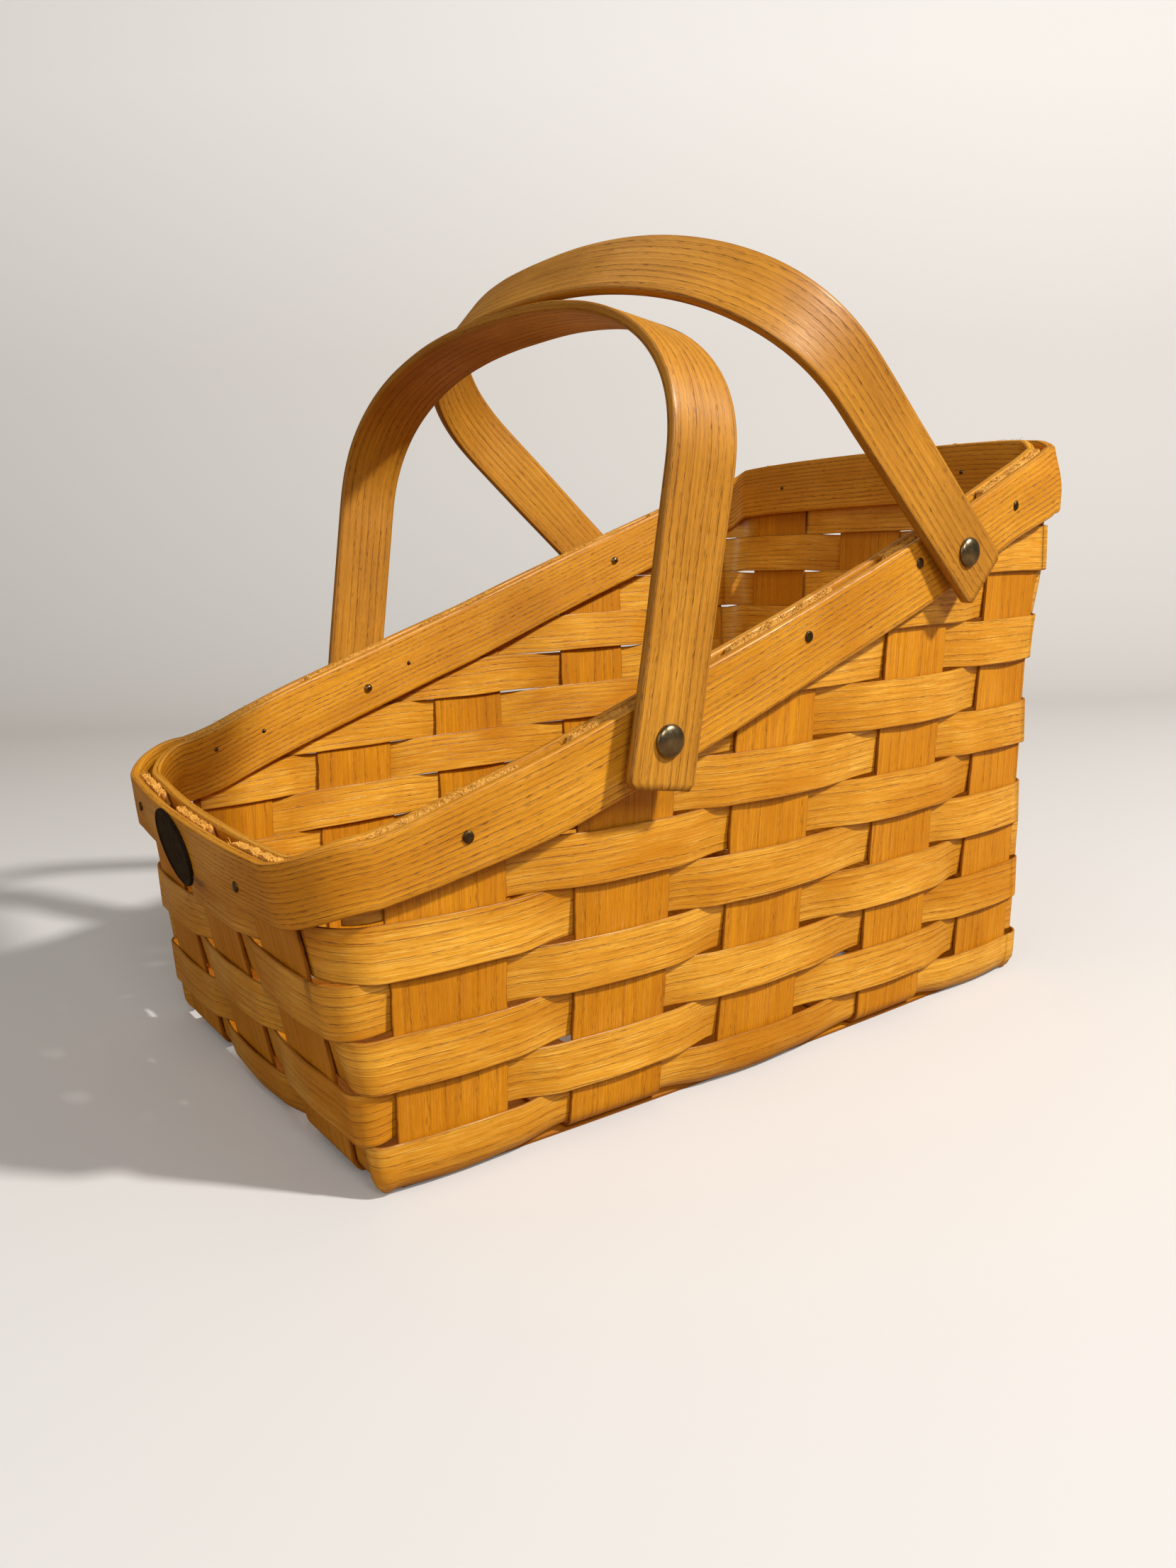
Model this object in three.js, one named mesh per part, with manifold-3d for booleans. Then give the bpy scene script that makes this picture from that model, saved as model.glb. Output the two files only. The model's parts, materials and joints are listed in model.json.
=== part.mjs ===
// Woven splint shelf basket with a low front, a high back, a slanted bentwood rim
// and two bentwood swing handles on rivets. Millimetres, +Z up, the base on Z = 0.
// X runs across the basket, -Y is the low front and +Y the high back.
import * as THREE from 'three'
import { mergeVertices } from 'three/addons/utils/BufferGeometryUtils.js'
import Module from 'manifold-3d'

const wasm = await Module()
wasm.setup()

// Plan of the wall's middle surface at the base, and how it opens towards the rim.
const HALF_WIDTH = 101.6
const SIDE_FLARE = 0.06
const SIDE_BOW = 0.00015
const SIDE_BOW_RISE = 0.0000022
const FRONT_LENGTH = 156.55
const FRONT_FLARE = 0.161
const FRONT_BOW_RISE = 0.0000035
const BACK_LENGTH = 162.115
const BACK_FLARE = 0.05
const FRONT_CORNER_RADIUS = 5.5
const FRONT_CORNER_OPENING = 0.18
const BACK_CORNER_RADIUS = 11.5
const BACK_CORNER_OPENING = 0.005
const BASE_BEND = 6

// Towards the front the wall turns a little, the near side forward and the far side back.
const FRONT_SKEW = 0.035
const SKEW_HEIGHT = 105
const SKEW_START = 90
const SKEW_FULL = 150

// Splints: wide flat uprights that turn under the base, and narrow weavers round them.
const SPLINT_WIDTH = 38
const SPLINT_THICKNESS = 1.2
const WEAVER_THICKNESS = 1
const WEAVE_CLEARANCE = 0.3
const WEAVE_MARGIN = 0.6
const CROSS_SPLINTS = [-131.4, -69.2, -5.2, 70.6, 133.5]
const CROSS_LEANS = [0.03, 0.03, 0.03, 0.03, 0.05]
const LONG_SPLINTS = [-63, 0, 63]
const EDGE_SPLINT_INSET = 3.1
const EDGE_SPLINT_GAP = 2
const EDGE_SPLINT_ENDS = [-148, 152]

// Weaver rows, counted from the base.
const FIRST_ROW_TOP = 18.4
const ROW_PITCH = 17.1
const ROW_SPREAD = 0.1
const ROW_GAP = 0.6
const CLOSED_ROWS = 5
const ALL_ROWS = 12
const ROW_TUCK = 3
const CORNER_BULGE = 2

// Rim bands, one outside and one inside the ends of the splints.
const FRONT_RIM_TOP = 107
const FRONT_RIM_SAG = 3.5
const FRONT_RIM_FALL = 0.02
const FRONT_RIM_HEIGHT = 20.6
const RIM_NARROWING = 60
const FAR_RIM_LIFT = 5.5
const FAR_LIFT_LENGTH = 125
const BACK_RIM_TOP = 237
const BACK_RIM_FALL = 3
const SIDE_RIM_LOW = 112
const RIM_LINE = 169.3
const RIM_SLOPE = 0.375
const RIM_EASE = 8
const RIM_HEIGHT = 25.7
const RIM_THICKNESS = 3.6
const RIM_CLEARANCE = 0.4
const SPLINT_END_DROP = 0.8

// Swing handles.
const HANDLE_WIDTH = 26.5
const HANDLE_THICKNESS = 3.6
const HANDLE_SPREAD = 1.8
const HANDLE_ARM = 84
const HANDLE_DOME = 2.4
const HANDLE_END = 16
const HANDLE_END_CUT = 1.8
const HANDLE_EDGE = 0.9
const HANDLE_CLEARANCE = 0.5
const FRONT_PIVOT = -58.5
const FRONT_RISE = 146.6
const FRONT_TILT = -9.6
const REAR_PIVOT = 88.5
const REAR_RISE = 156
const REST_CLEARANCE = 4

// Rivets, nails and the plain oval plate on the front of the rim.
const RIVET_RADIUS = 1.9
const RIVET_HEAD_RADIUS = 5.5
const RIVET_HEAD_HEIGHT = 2.4
const RIVET_BURR_RADIUS = 2.8
const RIVET_BURR_HEIGHT = 0.6
const NAIL_RADIUS = 0.9
const NAIL_HEAD_RADIUS = 1.9
const NAIL_HEAD_HEIGHT = 0.9
const NAIL_TIP = 0.8
const FASTENER_CLEARANCE = 0.35
const SEAT_CLEARANCE = 0.3
const NEAR_NAILS = [-122.7, 7, 66, 133]
const NEAR_LIFTS = [0, 4, 5, 1]
const FAR_NAILS = [-139, -114, -36, 133]
const FAR_LIFTS = [5, 2, 0, 0]
const FRONT_NAILS = [-64, 54]
const FRONT_LIFTS = [1, -2]
const BACK_NAILS = [-57, 57]
const BADGE_WIDTH = 39
const BADGE_HEIGHT = 27
const BADGE_THICKNESS = 1.2
const BADGE_PLACE = -14
const BADGE_DROP = 3
const BADGE_TURN = -12

const baseMiddle = 1.5 * SPLINT_THICKNESS + WEAVE_CLEARANCE
const baseStep = SPLINT_THICKNESS + WEAVE_CLEARANCE
const bendTop = baseMiddle + BASE_BEND
const weaveOffset = SPLINT_THICKNESS / 2 + WEAVE_CLEARANCE + WEAVER_THICKNESS / 2
const rimInside = weaveOffset + WEAVER_THICKNESS / 2 + RIM_CLEARANCE
const rimOutside = rimInside + RIM_THICKNESS
const bendAngles = [0, Math.PI / 6, Math.PI / 3, Math.PI / 2]

function sideBow(z) {
  return SIDE_BOW + SIDE_BOW_RISE * z
}

function sideX(y, z) {
  return HALF_WIDTH + SIDE_FLARE * z - sideBow(z) * y * y
}

function endY(end, z) {
  return end < 0 ? FRONT_LENGTH + FRONT_FLARE * z : BACK_LENGTH + BACK_FLARE * z
}

function cornerRadius(end, z) {
  if (end < 0) return FRONT_CORNER_RADIUS + FRONT_CORNER_OPENING * z
  return BACK_CORNER_RADIUS + BACK_CORNER_OPENING * z
}

// The round corner between a long side and an end, in the quarter where X and Y are
// positive: its centre, and the normal's angle where it meets the side and the end.
function cornerArc(end, z) {
  const radius = cornerRadius(end, z)
  const bow = end < 0 ? FRONT_BOW_RISE * z : 0
  let x = HALF_WIDTH - radius
  let y = endY(end, z) - radius
  let first = 0
  let last = Math.PI / 2
  for (let i = 0; i < 8; i++) {
    const sideAt = y + radius * Math.sin(first)
    first = Math.atan(2 * sideBow(z) * sideAt)
    x = sideX(sideAt, z) - radius * Math.cos(first)
    const endAt = x + radius * Math.cos(last)
    last = Math.PI / 2 - Math.atan(2 * bow * endAt)
    y = endY(end, z) - bow * endAt * endAt - radius * Math.sin(last)
  }
  return { x, y, radius, first, last, bow }
}

// Angle of the normal at a station of a side or an end, held to the corner's own range.
function arcAngle(arc, station, z) {
  if (station.face === 'side') {
    const reach = (Math.abs(station.at + station.lean * z) - arc.y) / arc.radius
    return Math.max(arc.first, Math.asin(Math.min(1, Math.max(-1, reach))))
  }
  const reach = (Math.abs(station.at) - arc.x) / arc.radius
  return Math.min(arc.last, Math.acos(Math.min(1, Math.max(-1, reach))))
}

// A point of the wall's middle surface at height z, with its outward normal. A station
// lies on a long side, on the front or back end, or in a corner between the two; a side
// or an end that runs on past the start of a corner follows its curve.
function planPoint(station, z) {
  const along = station.face === 'side' ? station.at + station.lean * z : 0
  const end = station.face === 'side' ? Math.sign(along) || 1 : station.end
  const arc = cornerArc(end, z)
  if (station.face === 'side') {
    const angle = arcAngle(arc, station, z)
    if (angle > arc.first) return arcPoint(arc, station.sign, end, angle)
    const slope = 2 * sideBow(z) * along
    const length = Math.hypot(1, slope)
    const x = station.sign * sideX(along, z)
    return { x, y: along, nx: station.sign / length, ny: slope / length }
  }
  if (station.face === 'end') {
    const angle = arcAngle(arc, station, z)
    if (angle < arc.last) return arcPoint(arc, Math.sign(station.at), end, angle)
    const slope = 2 * arc.bow * station.at
    const length = Math.hypot(1, slope)
    const y = end * (endY(end, z) - arc.bow * station.at * station.at)
    return { x: station.at, y, nx: slope / length, ny: end / length }
  }
  const first = station.from ? arcAngle(arc, station.from, z) : arc.first
  const last = station.to ? arcAngle(arc, station.to, z) : arc.last
  return arcPoint(arc, station.sign, end, first + (last - first) * station.turn)
}

function arcPoint(arc, sign, end, angle) {
  const nx = Math.cos(angle)
  const ny = Math.sin(angle)
  const x = sign * (arc.x + arc.radius * nx)
  return { x, y: end * (arc.y + arc.radius * ny), nx: sign * nx, ny: end * ny }
}

function skewAt(y, z) {
  const reach = (-y - SKEW_START) / (SKEW_FULL - SKEW_START)
  return FRONT_SKEW * (z / SKEW_HEIGHT) ** 2 * THREE.MathUtils.smoothstep(reach, 0, 1)
}

function wallPoint(station, z, offset) {
  const p = planPoint(station, z)
  const x = p.x + p.nx * offset
  const y = p.y + p.ny * offset
  return new THREE.Vector3(x, y - x * skewAt(y, z), z)
}

// The quarter bend from the flat base (angle 0) to the foot of the wall (90 degrees).
function bendPoint(station, angle, offset, lift = 0) {
  const inward = (BASE_BEND + offset) * Math.sin(angle) - BASE_BEND
  const p = planPoint(station, bendTop)
  const z = bendTop - (BASE_BEND + offset) * Math.cos(angle) + lift
  return new THREE.Vector3(p.x + p.nx * inward, p.y + p.ny * inward, z)
}

// Height of the rim's top edge: nearly level along both ends, one slope along each long
// side that eases off near the front, and a short rise or fall inside each corner. The
// far side stands a little higher towards the front.
function sideRimTop(y, sign) {
  const share = Math.min(1, Math.max(0, -y / FAR_LIFT_LENGTH))
  const lift = sign < 0 ? FAR_RIM_LIFT * share : 0
  const line = RIM_LINE + RIM_SLOPE * y
  const above = line - SIDE_RIM_LOW
  if (above > RIM_EASE) return line + lift
  if (above < -RIM_EASE) return SIDE_RIM_LOW + lift
  return SIDE_RIM_LOW + (above + RIM_EASE) ** 2 / (4 * RIM_EASE) + lift
}

function endRimTop(end, x) {
  if (end > 0) return BACK_RIM_TOP - BACK_RIM_FALL * (x / HALF_WIDTH) ** 4
  return FRONT_RIM_TOP - FRONT_RIM_FALL * x + FRONT_RIM_SAG * (x / HALF_WIDTH) ** 2
}

function rimTopAt(station) {
  if (station.face === 'end') return endRimTop(station.end, station.at)
  const onSide = station.face === 'side' ? station : { ...station, turn: 0 }
  let z = FRONT_RIM_TOP
  for (let i = 0; i < 6; i++) {
    z = sideRimTop(planPoint(onSide, z).y, station.sign)
  }
  if (station.face === 'side') return z
  const share = station.turn * station.turn * (3 - 2 * station.turn)
  const level = endRimTop(station.end, planPoint({ ...station, turn: 1 }, z).x)
  return z + (level - z) * share
}

function sideRimSlope(y) {
  const above = RIM_LINE + RIM_SLOPE * y - SIDE_RIM_LOW
  return RIM_SLOPE * Math.min(1, Math.max(0, (above + RIM_EASE) / (2 * RIM_EASE)))
}

function rimDrop(station, z) {
  if (station.face === 'end') return station.end < 0 ? FRONT_RIM_HEIGHT : RIM_HEIGHT
  const onSide = station.face === 'side' ? station : { ...station, turn: 0 }
  const y = planPoint(onSide, z).y
  const near = (y + cornerArc(-1, z).y) / RIM_NARROWING
  const corner = station.face === 'corner' && station.end < 0 ? station.turn : 0
  const share = THREE.MathUtils.smoothstep(station.sign > 0 ? near : 1 - corner, 0, 1)
  const height = FRONT_RIM_HEIGHT + (RIM_HEIGHT - FRONT_RIM_HEIGHT) * share
  return height * Math.hypot(1, sideRimSlope(y) * planPoint(station, z).nx)
}

function rimMiddle(station) {
  const z = rimTopAt(station)
  return z - rimDrop(station, z) / 2
}

// One closed body through a row of equal sections, with flat ends or joined in a ring.
function loft(sections, ring) {
  const count = sections[0].length
  const positions = []
  const faces = []
  for (const section of sections) {
    for (const p of section) {
      positions.push(p.x, p.y, p.z)
    }
  }
  const last = ring ? sections.length : sections.length - 1
  for (let i = 0; i < last; i++) {
    const a = i * count
    const b = ((i + 1) % sections.length) * count
    for (let j = 0; j < count; j++) {
      const k = (j + 1) % count
      faces.push(a + j, b + j, b + k)
      faces.push(a + j, b + k, a + k)
    }
  }
  if (!ring) {
    const e = (sections.length - 1) * count
    for (let j = 0; j < count / 2 - 1; j++) {
      const far = count - 1 - j
      faces.push(j, j + 1, far - 1, j, far - 1, far)
      faces.push(e + j, e + far - 1, e + j + 1, e + j, e + far, e + far - 1)
    }
  }
  let volume = 0
  const corners = [new THREE.Vector3(), new THREE.Vector3(), new THREE.Vector3()]
  for (let i = 0; i < faces.length; i += 3) {
    corners.forEach((c, n) => c.fromArray(positions, faces[i + n] * 3))
    volume += corners[0].dot(corners[1].clone().cross(corners[2]))
  }
  if (volume < 0) faces.reverse()
  const geometry = new THREE.BufferGeometry()
  geometry.setAttribute('position', new THREE.Float32BufferAttribute(positions, 3))
  geometry.setIndex(faces)
  return geometry
}

function plain(geometry) {
  const copy = geometry.clone()
  copy.deleteAttribute('normal')
  copy.deleteAttribute('uv')
  return mergeVertices(copy)
}

function toSolid(geometry) {
  const vertProperties = new Float32Array(geometry.attributes.position.array)
  const triVerts = new Uint32Array(geometry.index.array)
  return new wasm.Manifold(new wasm.Mesh({ numProp: 3, vertProperties, triVerts }))
}

function fromSolid(solid) {
  const mesh = solid.getMesh()
  const geometry = new THREE.BufferGeometry()
  const positions = new Float32Array(mesh.vertProperties)
  geometry.setAttribute('position', new THREE.BufferAttribute(positions, 3))
  geometry.setIndex(Array.from(mesh.triVerts))
  return geometry
}

// Round holes for the fasteners, cut only where they reach the piece.
function drill(geometry, holes) {
  geometry.computeBoundingBox()
  const reached = holes.filter((hole) => hole.box.intersectsBox(geometry.boundingBox))
  if (reached.length === 0) return geometry
  let solid = toSolid(geometry)
  for (const hole of reached) {
    solid = solid.subtract(toSolid(hole.geometry))
  }
  return fromSolid(solid)
}

// Lathe profile [radius, distance] round an axis that leaves the wall along the normal.
function turned(profile, sides, place, normal) {
  const points = profile.map((p) => new THREE.Vector2(p[0], p[1]))
  const geometry = plain(new THREE.LatheGeometry(points, sides))
  const turn = new THREE.Quaternion().setFromUnitVectors(new THREE.Vector3(0, 1, 0), normal)
  geometry.applyQuaternion(turn)
  geometry.translate(place.x, place.y, place.z)
  return geometry
}

const group = new THREE.Group()

function add(name, geometry, color, roughness, metalness) {
  geometry.computeVertexNormals()
  const material = new THREE.MeshStandardMaterial({ color, roughness, metalness })
  const mesh = new THREE.Mesh(geometry, material)
  mesh.name = name
  group.add(mesh)
  return mesh
}

// Fasteners first, because their holes go through the pieces that they hold.
const holes = []

function addHole(place, normal, radius, sides, inward, outward) {
  const profile = [[0, -inward], [radius, -inward], [radius, outward], [0, outward]]
  const geometry = turned(profile, sides, place, normal)
  geometry.computeBoundingBox()
  holes.push({ geometry, box: geometry.boundingBox.clone() })
}

function addNail(name, station, lift) {
  const z = rimMiddle(station) + lift
  const p = planPoint(station, z)
  const place = wallPoint(station, z, 0)
  const turn = station.face === 'end' ? skewAt(p.y, z) : 0
  const normal = new THREE.Vector3(p.nx - turn, p.ny, 0).normalize()
  const seat = rimOutside + SEAT_CLEARANCE
  const profile = [
    [0, -rimOutside - NAIL_TIP],
    [NAIL_RADIUS, -rimOutside - NAIL_TIP / 2],
    [NAIL_RADIUS, seat],
    [NAIL_HEAD_RADIUS, seat],
    [NAIL_HEAD_RADIUS * 0.8, seat + NAIL_HEAD_HEIGHT * 0.7],
    [0, seat + NAIL_HEAD_HEIGHT]
  ]
  const far = rimOutside + 2
  addHole(place, normal, NAIL_RADIUS + FASTENER_CLEARANCE, 8, far, far)
  add(name, turned(profile, 8, place, normal), 0x6b5a33, 0.45, 0.85)
}

NEAR_NAILS.forEach((at, i) => {
  addNail(`nail_near_${i + 1}`, { face: 'side', sign: 1, at, lean: 0 }, NEAR_LIFTS[i])
})
FAR_NAILS.forEach((at, i) => {
  addNail(`nail_far_${i + 1}`, { face: 'side', sign: -1, at, lean: 0 }, FAR_LIFTS[i])
})
FRONT_NAILS.forEach((at, i) => {
  addNail(`nail_front_${i + 1}`, { face: 'end', end: -1, at }, FRONT_LIFTS[i])
})
BACK_NAILS.forEach((at, i) => {
  addNail(`nail_back_${i + 1}`, { face: 'end', end: 1, at }, 0)
})

// The widest and narrowest faces of the rim bands within reach of a pivot.
function rimReach(pivot, reach, offset, pick) {
  let best = null
  for (let i = -8; i <= 8; i++) {
    const station = { face: 'side', sign: 1, at: pivot + reach * i / 8, lean: 0 }
    const top = rimTopAt(station)
    for (const z of [top, top - rimDrop(station, top)]) {
      const x = wallPoint(station, z, offset).x
      best = best === null ? x : pick(best, x)
    }
  }
  return best
}

function handlePlace(pivot) {
  const station = { face: 'side', sign: 1, at: pivot, lean: 0 }
  const reach = Math.hypot(HANDLE_END, HANDLE_WIDTH / 2)
  const lean = HANDLE_SPREAD * HANDLE_END / HANDLE_ARM
  const clear = HANDLE_CLEARANCE + lean
  const inner = rimReach(pivot, reach, rimOutside, Math.max) + clear
  return { y: pivot, z: rimMiddle(station), foot: inner + HANDLE_THICKNESS / 2 }
}

const frontPlace = handlePlace(FRONT_PIVOT)
const rearPlace = handlePlace(REAR_PIVOT)

function addRivet(name, place, sign) {
  const outer = place.foot + HANDLE_THICKNESS / 2 + SEAT_CLEARANCE
  const band = rimReach(place.y, RIVET_BURR_RADIUS, -rimOutside, Math.min)
  const inner = band - SEAT_CLEARANCE
  const profile = [
    [0, inner - RIVET_BURR_HEIGHT],
    [RIVET_BURR_RADIUS, inner - RIVET_BURR_HEIGHT * 0.6],
    [RIVET_BURR_RADIUS, inner],
    [RIVET_RADIUS, inner],
    [RIVET_RADIUS, outer],
    [RIVET_HEAD_RADIUS, outer],
    [RIVET_HEAD_RADIUS * 0.93, outer + RIVET_HEAD_HEIGHT * 0.5],
    [RIVET_HEAD_RADIUS * 0.6, outer + RIVET_HEAD_HEIGHT * 0.87],
    [0, outer + RIVET_HEAD_HEIGHT]
  ]
  const centre = new THREE.Vector3(0, place.y, place.z)
  const normal = new THREE.Vector3(sign, 0, 0)
  addHole(centre, normal, RIVET_RADIUS + FASTENER_CLEARANCE, 12, -inner + 2, outer + 2)
  add(name, turned(profile, 12, centre, normal), 0x9a9482, 0.35, 0.9)
}

addRivet('rivet_front_near', frontPlace, 1)
addRivet('rivet_front_far', frontPlace, -1)
addRivet('rivet_rear_near', rearPlace, 1)
addRivet('rivet_rear_far', rearPlace, -1)

// Cross splints: down one long side, flat across the base and up the other side.
function topOf(edge) {
  return rimTopAt(edge) - SPLINT_END_DROP
}

// Across a splint: its two edges and its middle, outer face first.
const ACROSS = [-1, 0, 1]

function splintSection(line, pointAt) {
  const half = SPLINT_THICKNESS / 2
  const outer = line.map((s) => pointAt(s, half))
  const inner = line.map((s) => pointAt(s, -half))
  return outer.concat(inner.reverse())
}

const WALL_STEP = 16

function wallSections(line) {
  const sections = []
  const steps = Math.ceil((topOf(line[line.length - 1]) - bendTop) / WALL_STEP)
  for (let i = 1; i <= steps; i++) {
    const share = i / steps
    const pointAt = (edge, offset) => {
      return wallPoint(edge, bendTop + (topOf(edge) - bendTop) * share, offset)
    }
    sections.push(splintSection(line, pointAt))
  }
  return sections
}

function bendSections(line, lift) {
  return bendAngles.map((angle) => {
    const share = Math.max(0, 1 - angle / bendAngles[1])
    return splintSection(line, (edge, offset) => bendPoint(edge, angle, offset, lift * share))
  })
}

CROSS_SPLINTS.forEach((middle, i) => {
  const arms = [1, -1].map((sign) => {
    const line = ACROSS.map((e) => {
      return { face: 'side', sign, at: middle + e * SPLINT_WIDTH / 2, lean: CROSS_LEANS[i] }
    })
    return bendSections(line, 0).concat(wallSections(line))
  })
  const sections = arms[0].reverse().concat(arms[1])
  add(`cross_splint_${i + 1}`, drill(loft(sections, false), holes), 0xc98a3e, 0.55, 0)
})

// Long splints: down the front, over and under the cross splints, and up the back.
LONG_SPLINTS.forEach((middle, i) => {
  const over = i % 2 === 0 ? 1 : -1
  const lineOf = (end) => ACROSS.map((e) => {
    return { face: 'end', end, at: middle + e * SPLINT_WIDTH / 2 }
  })
  const floorSection = (y, level) => {
    return splintSection(ACROSS, (e, offset) => {
      const x = middle + e * SPLINT_WIDTH / 2
      return new THREE.Vector3(x, y, baseMiddle + level * baseStep - offset)
    })
  }
  const sections = bendSections(lineOf(-1), over * baseStep).concat(wallSections(lineOf(-1)))
  sections.reverse()
  CROSS_SPLINTS.forEach((place, k) => {
    const side = k % 2 === 0 ? over : -over
    const centre = place + CROSS_LEANS[k] * baseMiddle
    const reach = SPLINT_WIDTH / 2 + WEAVE_MARGIN
    if (k > 0) sections.push(floorSection(centre - reach, side))
    if (k < CROSS_SPLINTS.length - 1) {
      sections.push(floorSection(centre + reach, side))
      const next = CROSS_SPLINTS[k + 1] + CROSS_LEANS[k + 1] * baseMiddle - reach
      for (const share of [1 / 3, 2 / 3]) {
        const y = centre + reach + (next - centre - reach) * share
        sections.push(floorSection(y, side * Math.cos(Math.PI * share)))
      }
    }
  })
  sections.push(...bendSections(lineOf(1), over * baseStep), ...wallSections(lineOf(1)))
  add(`long_splint_${i + 1}`, drill(loft(sections, false), holes), 0xc98a3e, 0.55, 0)
})

// Edge splints: one flat strip under the cross splints along the foot of each long side.
function edgeSplint(sign) {
  const inner = Math.max(...LONG_SPLINTS) + SPLINT_WIDTH / 2 + EDGE_SPLINT_GAP
  const low = baseMiddle - baseStep - SPLINT_THICKNESS / 2
  const [from, to] = EDGE_SPLINT_ENDS
  const steps = 12
  const sections = []
  for (let i = 0; i <= steps; i++) {
    const y = from + (to - from) * i / steps
    const outer = sideX(y, 0) - EDGE_SPLINT_INSET
    sections.push([
      new THREE.Vector3(sign * outer, y, low),
      new THREE.Vector3(sign * outer, y, low + SPLINT_THICKNESS),
      new THREE.Vector3(sign * inner, y, low + SPLINT_THICKNESS),
      new THREE.Vector3(sign * inner, y, low)
    ])
  }
  return loft(sections, false)
}

add('edge_splint_near', edgeSplint(1), 0xc98a3e, 0.55, 0)
add('edge_splint_far', edgeSplint(-1), 0xc98a3e, 0.55, 0)

// Places of the uprights round the basket, near side first, then back, far side, front.
const uprights = []
const crossings = CROSS_SPLINTS.map((at, i) => ({ at, lean: CROSS_LEANS[i] }))
crossings.forEach((s) => uprights.push({ face: 'side', sign: 1, ...s, run: 1 }))
const crossways = [...LONG_SPLINTS].reverse()
crossways.forEach((at) => uprights.push({ face: 'end', end: 1, at, run: -1 }))
const backwards = [...crossings].reverse()
backwards.forEach((s) => uprights.push({ face: 'side', sign: -1, ...s, run: -1 }))
LONG_SPLINTS.forEach((at) => uprights.push({ face: 'end', end: -1, at, run: 1 }))

function sameFace(a, b) {
  return a.face === b.face && a.sign === b.sign && a.end === b.end
}

function stationOf(upright, at, lean = upright.lean) {
  if (upright.face === 'end') return { face: 'end', end: upright.end, at }
  return { face: 'side', sign: upright.sign, at, lean }
}

// Stations of one weaver row. Each has the weaver's side there: 1 outside, -1 inside.
function rowStations(row) {
  const stations = []
  uprights.forEach((here, i) => {
    const next = uprights[(i + 1) % uprights.length]
    const side = (row + i) % 2 === 0 ? 1 : -1
    const reach = SPLINT_WIDTH / 2 + WEAVE_MARGIN
    const leave = here.at + here.run * reach
    const enter = next.at - next.run * reach
    for (const at of [here.at - here.run * reach, here.at, leave]) {
      stations.push({ ...stationOf(here, at), side, bulge: 0 })
    }
    if (sameFace(here, next)) {
      for (const share of [0.3, 0.5, 0.7]) {
        const at = leave + (enter - leave) * share
        const lean = here.lean + (next.lean - here.lean) * share
        const blend = side * Math.cos(Math.PI * share)
        stations.push({ ...stationOf(here, at, lean), side: blend, bulge: 0 })
      }
    } else {
      const sign = here.face === 'side' ? here.sign : next.sign
      const end = here.face === 'end' ? here.end : next.end
      const ends = [stationOf(here, leave), stationOf(next, enter)]
      const [from, to] = here.face === 'side' ? ends : ends.reverse()
      const steps = 6
      for (let k = 0; k <= steps; k++) {
        const share = (k + 1) / (steps + 2)
        const turn = here.face === 'side' ? k / steps : 1 - k / steps
        const blend = side * Math.cos(Math.PI * share)
        const bulge = Math.sin(Math.PI * share) ** 2
        stations.push({ face: 'corner', sign, end, turn, from, to, side: blend, bulge })
      }
    }
  })
  return stations
}

function rowLevel(row) {
  return FIRST_ROW_TOP + ROW_PITCH * (row - 1) + ROW_SPREAD * (row - 1) ** 2
}

function rowSection(station, bottom, top, bulge) {
  if (station.between) {
    const [a, b] = station.between.map((s) => rowSection(s, bottom, top, bulge))
    return a.map((p, i) => p.clone().lerp(b[i], station.share))
  }
  const middle = station.side * weaveOffset + station.bulge * bulge
  const outer = middle + WEAVER_THICKNESS / 2
  const inner = middle - WEAVER_THICKNESS / 2
  return [
    wallPoint(station, bottom, outer),
    wallPoint(station, top, outer),
    wallPoint(station, top, inner),
    wallPoint(station, bottom, inner)
  ]
}

// The lowest row turns a little way under the base with the splints.
function footSection(station, top, bulge) {
  const middle = station.side * weaveOffset + station.bulge * bulge
  const outer = middle + WEAVER_THICKNESS / 2
  const inner = middle - WEAVER_THICKNESS / 2
  const low = bendAngles.slice(1, 3)
  return [
    ...low.map((angle) => bendPoint(station, angle, outer)),
    wallPoint(station, bendTop, outer),
    wallPoint(station, top, outer),
    wallPoint(station, top, inner),
    wallPoint(station, bendTop, inner),
    ...low.map((angle) => bendPoint(station, angle, inner)).reverse()
  ]
}

// Where a row that doesn't close in front runs in between the slanted rim bands.
function rowEnd(top) {
  const first = CROSS_SPLINTS[0] - SPLINT_WIDTH / 2 + ROW_TUCK
  return Math.max((top + ROW_TUCK - RIM_LINE) / RIM_SLOPE, first)
}

function openRow(row, top) {
  const start = rowEnd(top)
  const placed = rowStations(row).map((s) => ({ ...s, y: planPoint(s, top).y }))
  const frontFace = placed.findIndex((s) => s.face === 'end' && s.end < 0)
  const used = placed.slice(0, frontFace).filter((s) => s.face !== 'corner' || s.end > 0)
  const kept = used.filter((s) => s.y > start + 1)
  const ends = [1, -1].map((sign) => {
    const line = used.filter((s) => s.face === 'side' && s.sign === sign)
    line.sort((a, b) => a.y - b.y)
    const after = Math.max(1, line.findIndex((s) => s.y > start))
    const [a, b] = [line[after - 1], line[after]]
    return { between: [a, b], share: (start - a.y) / (b.y - a.y) }
  })
  return [ends[0], ...kept, ends[1]]
}

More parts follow.
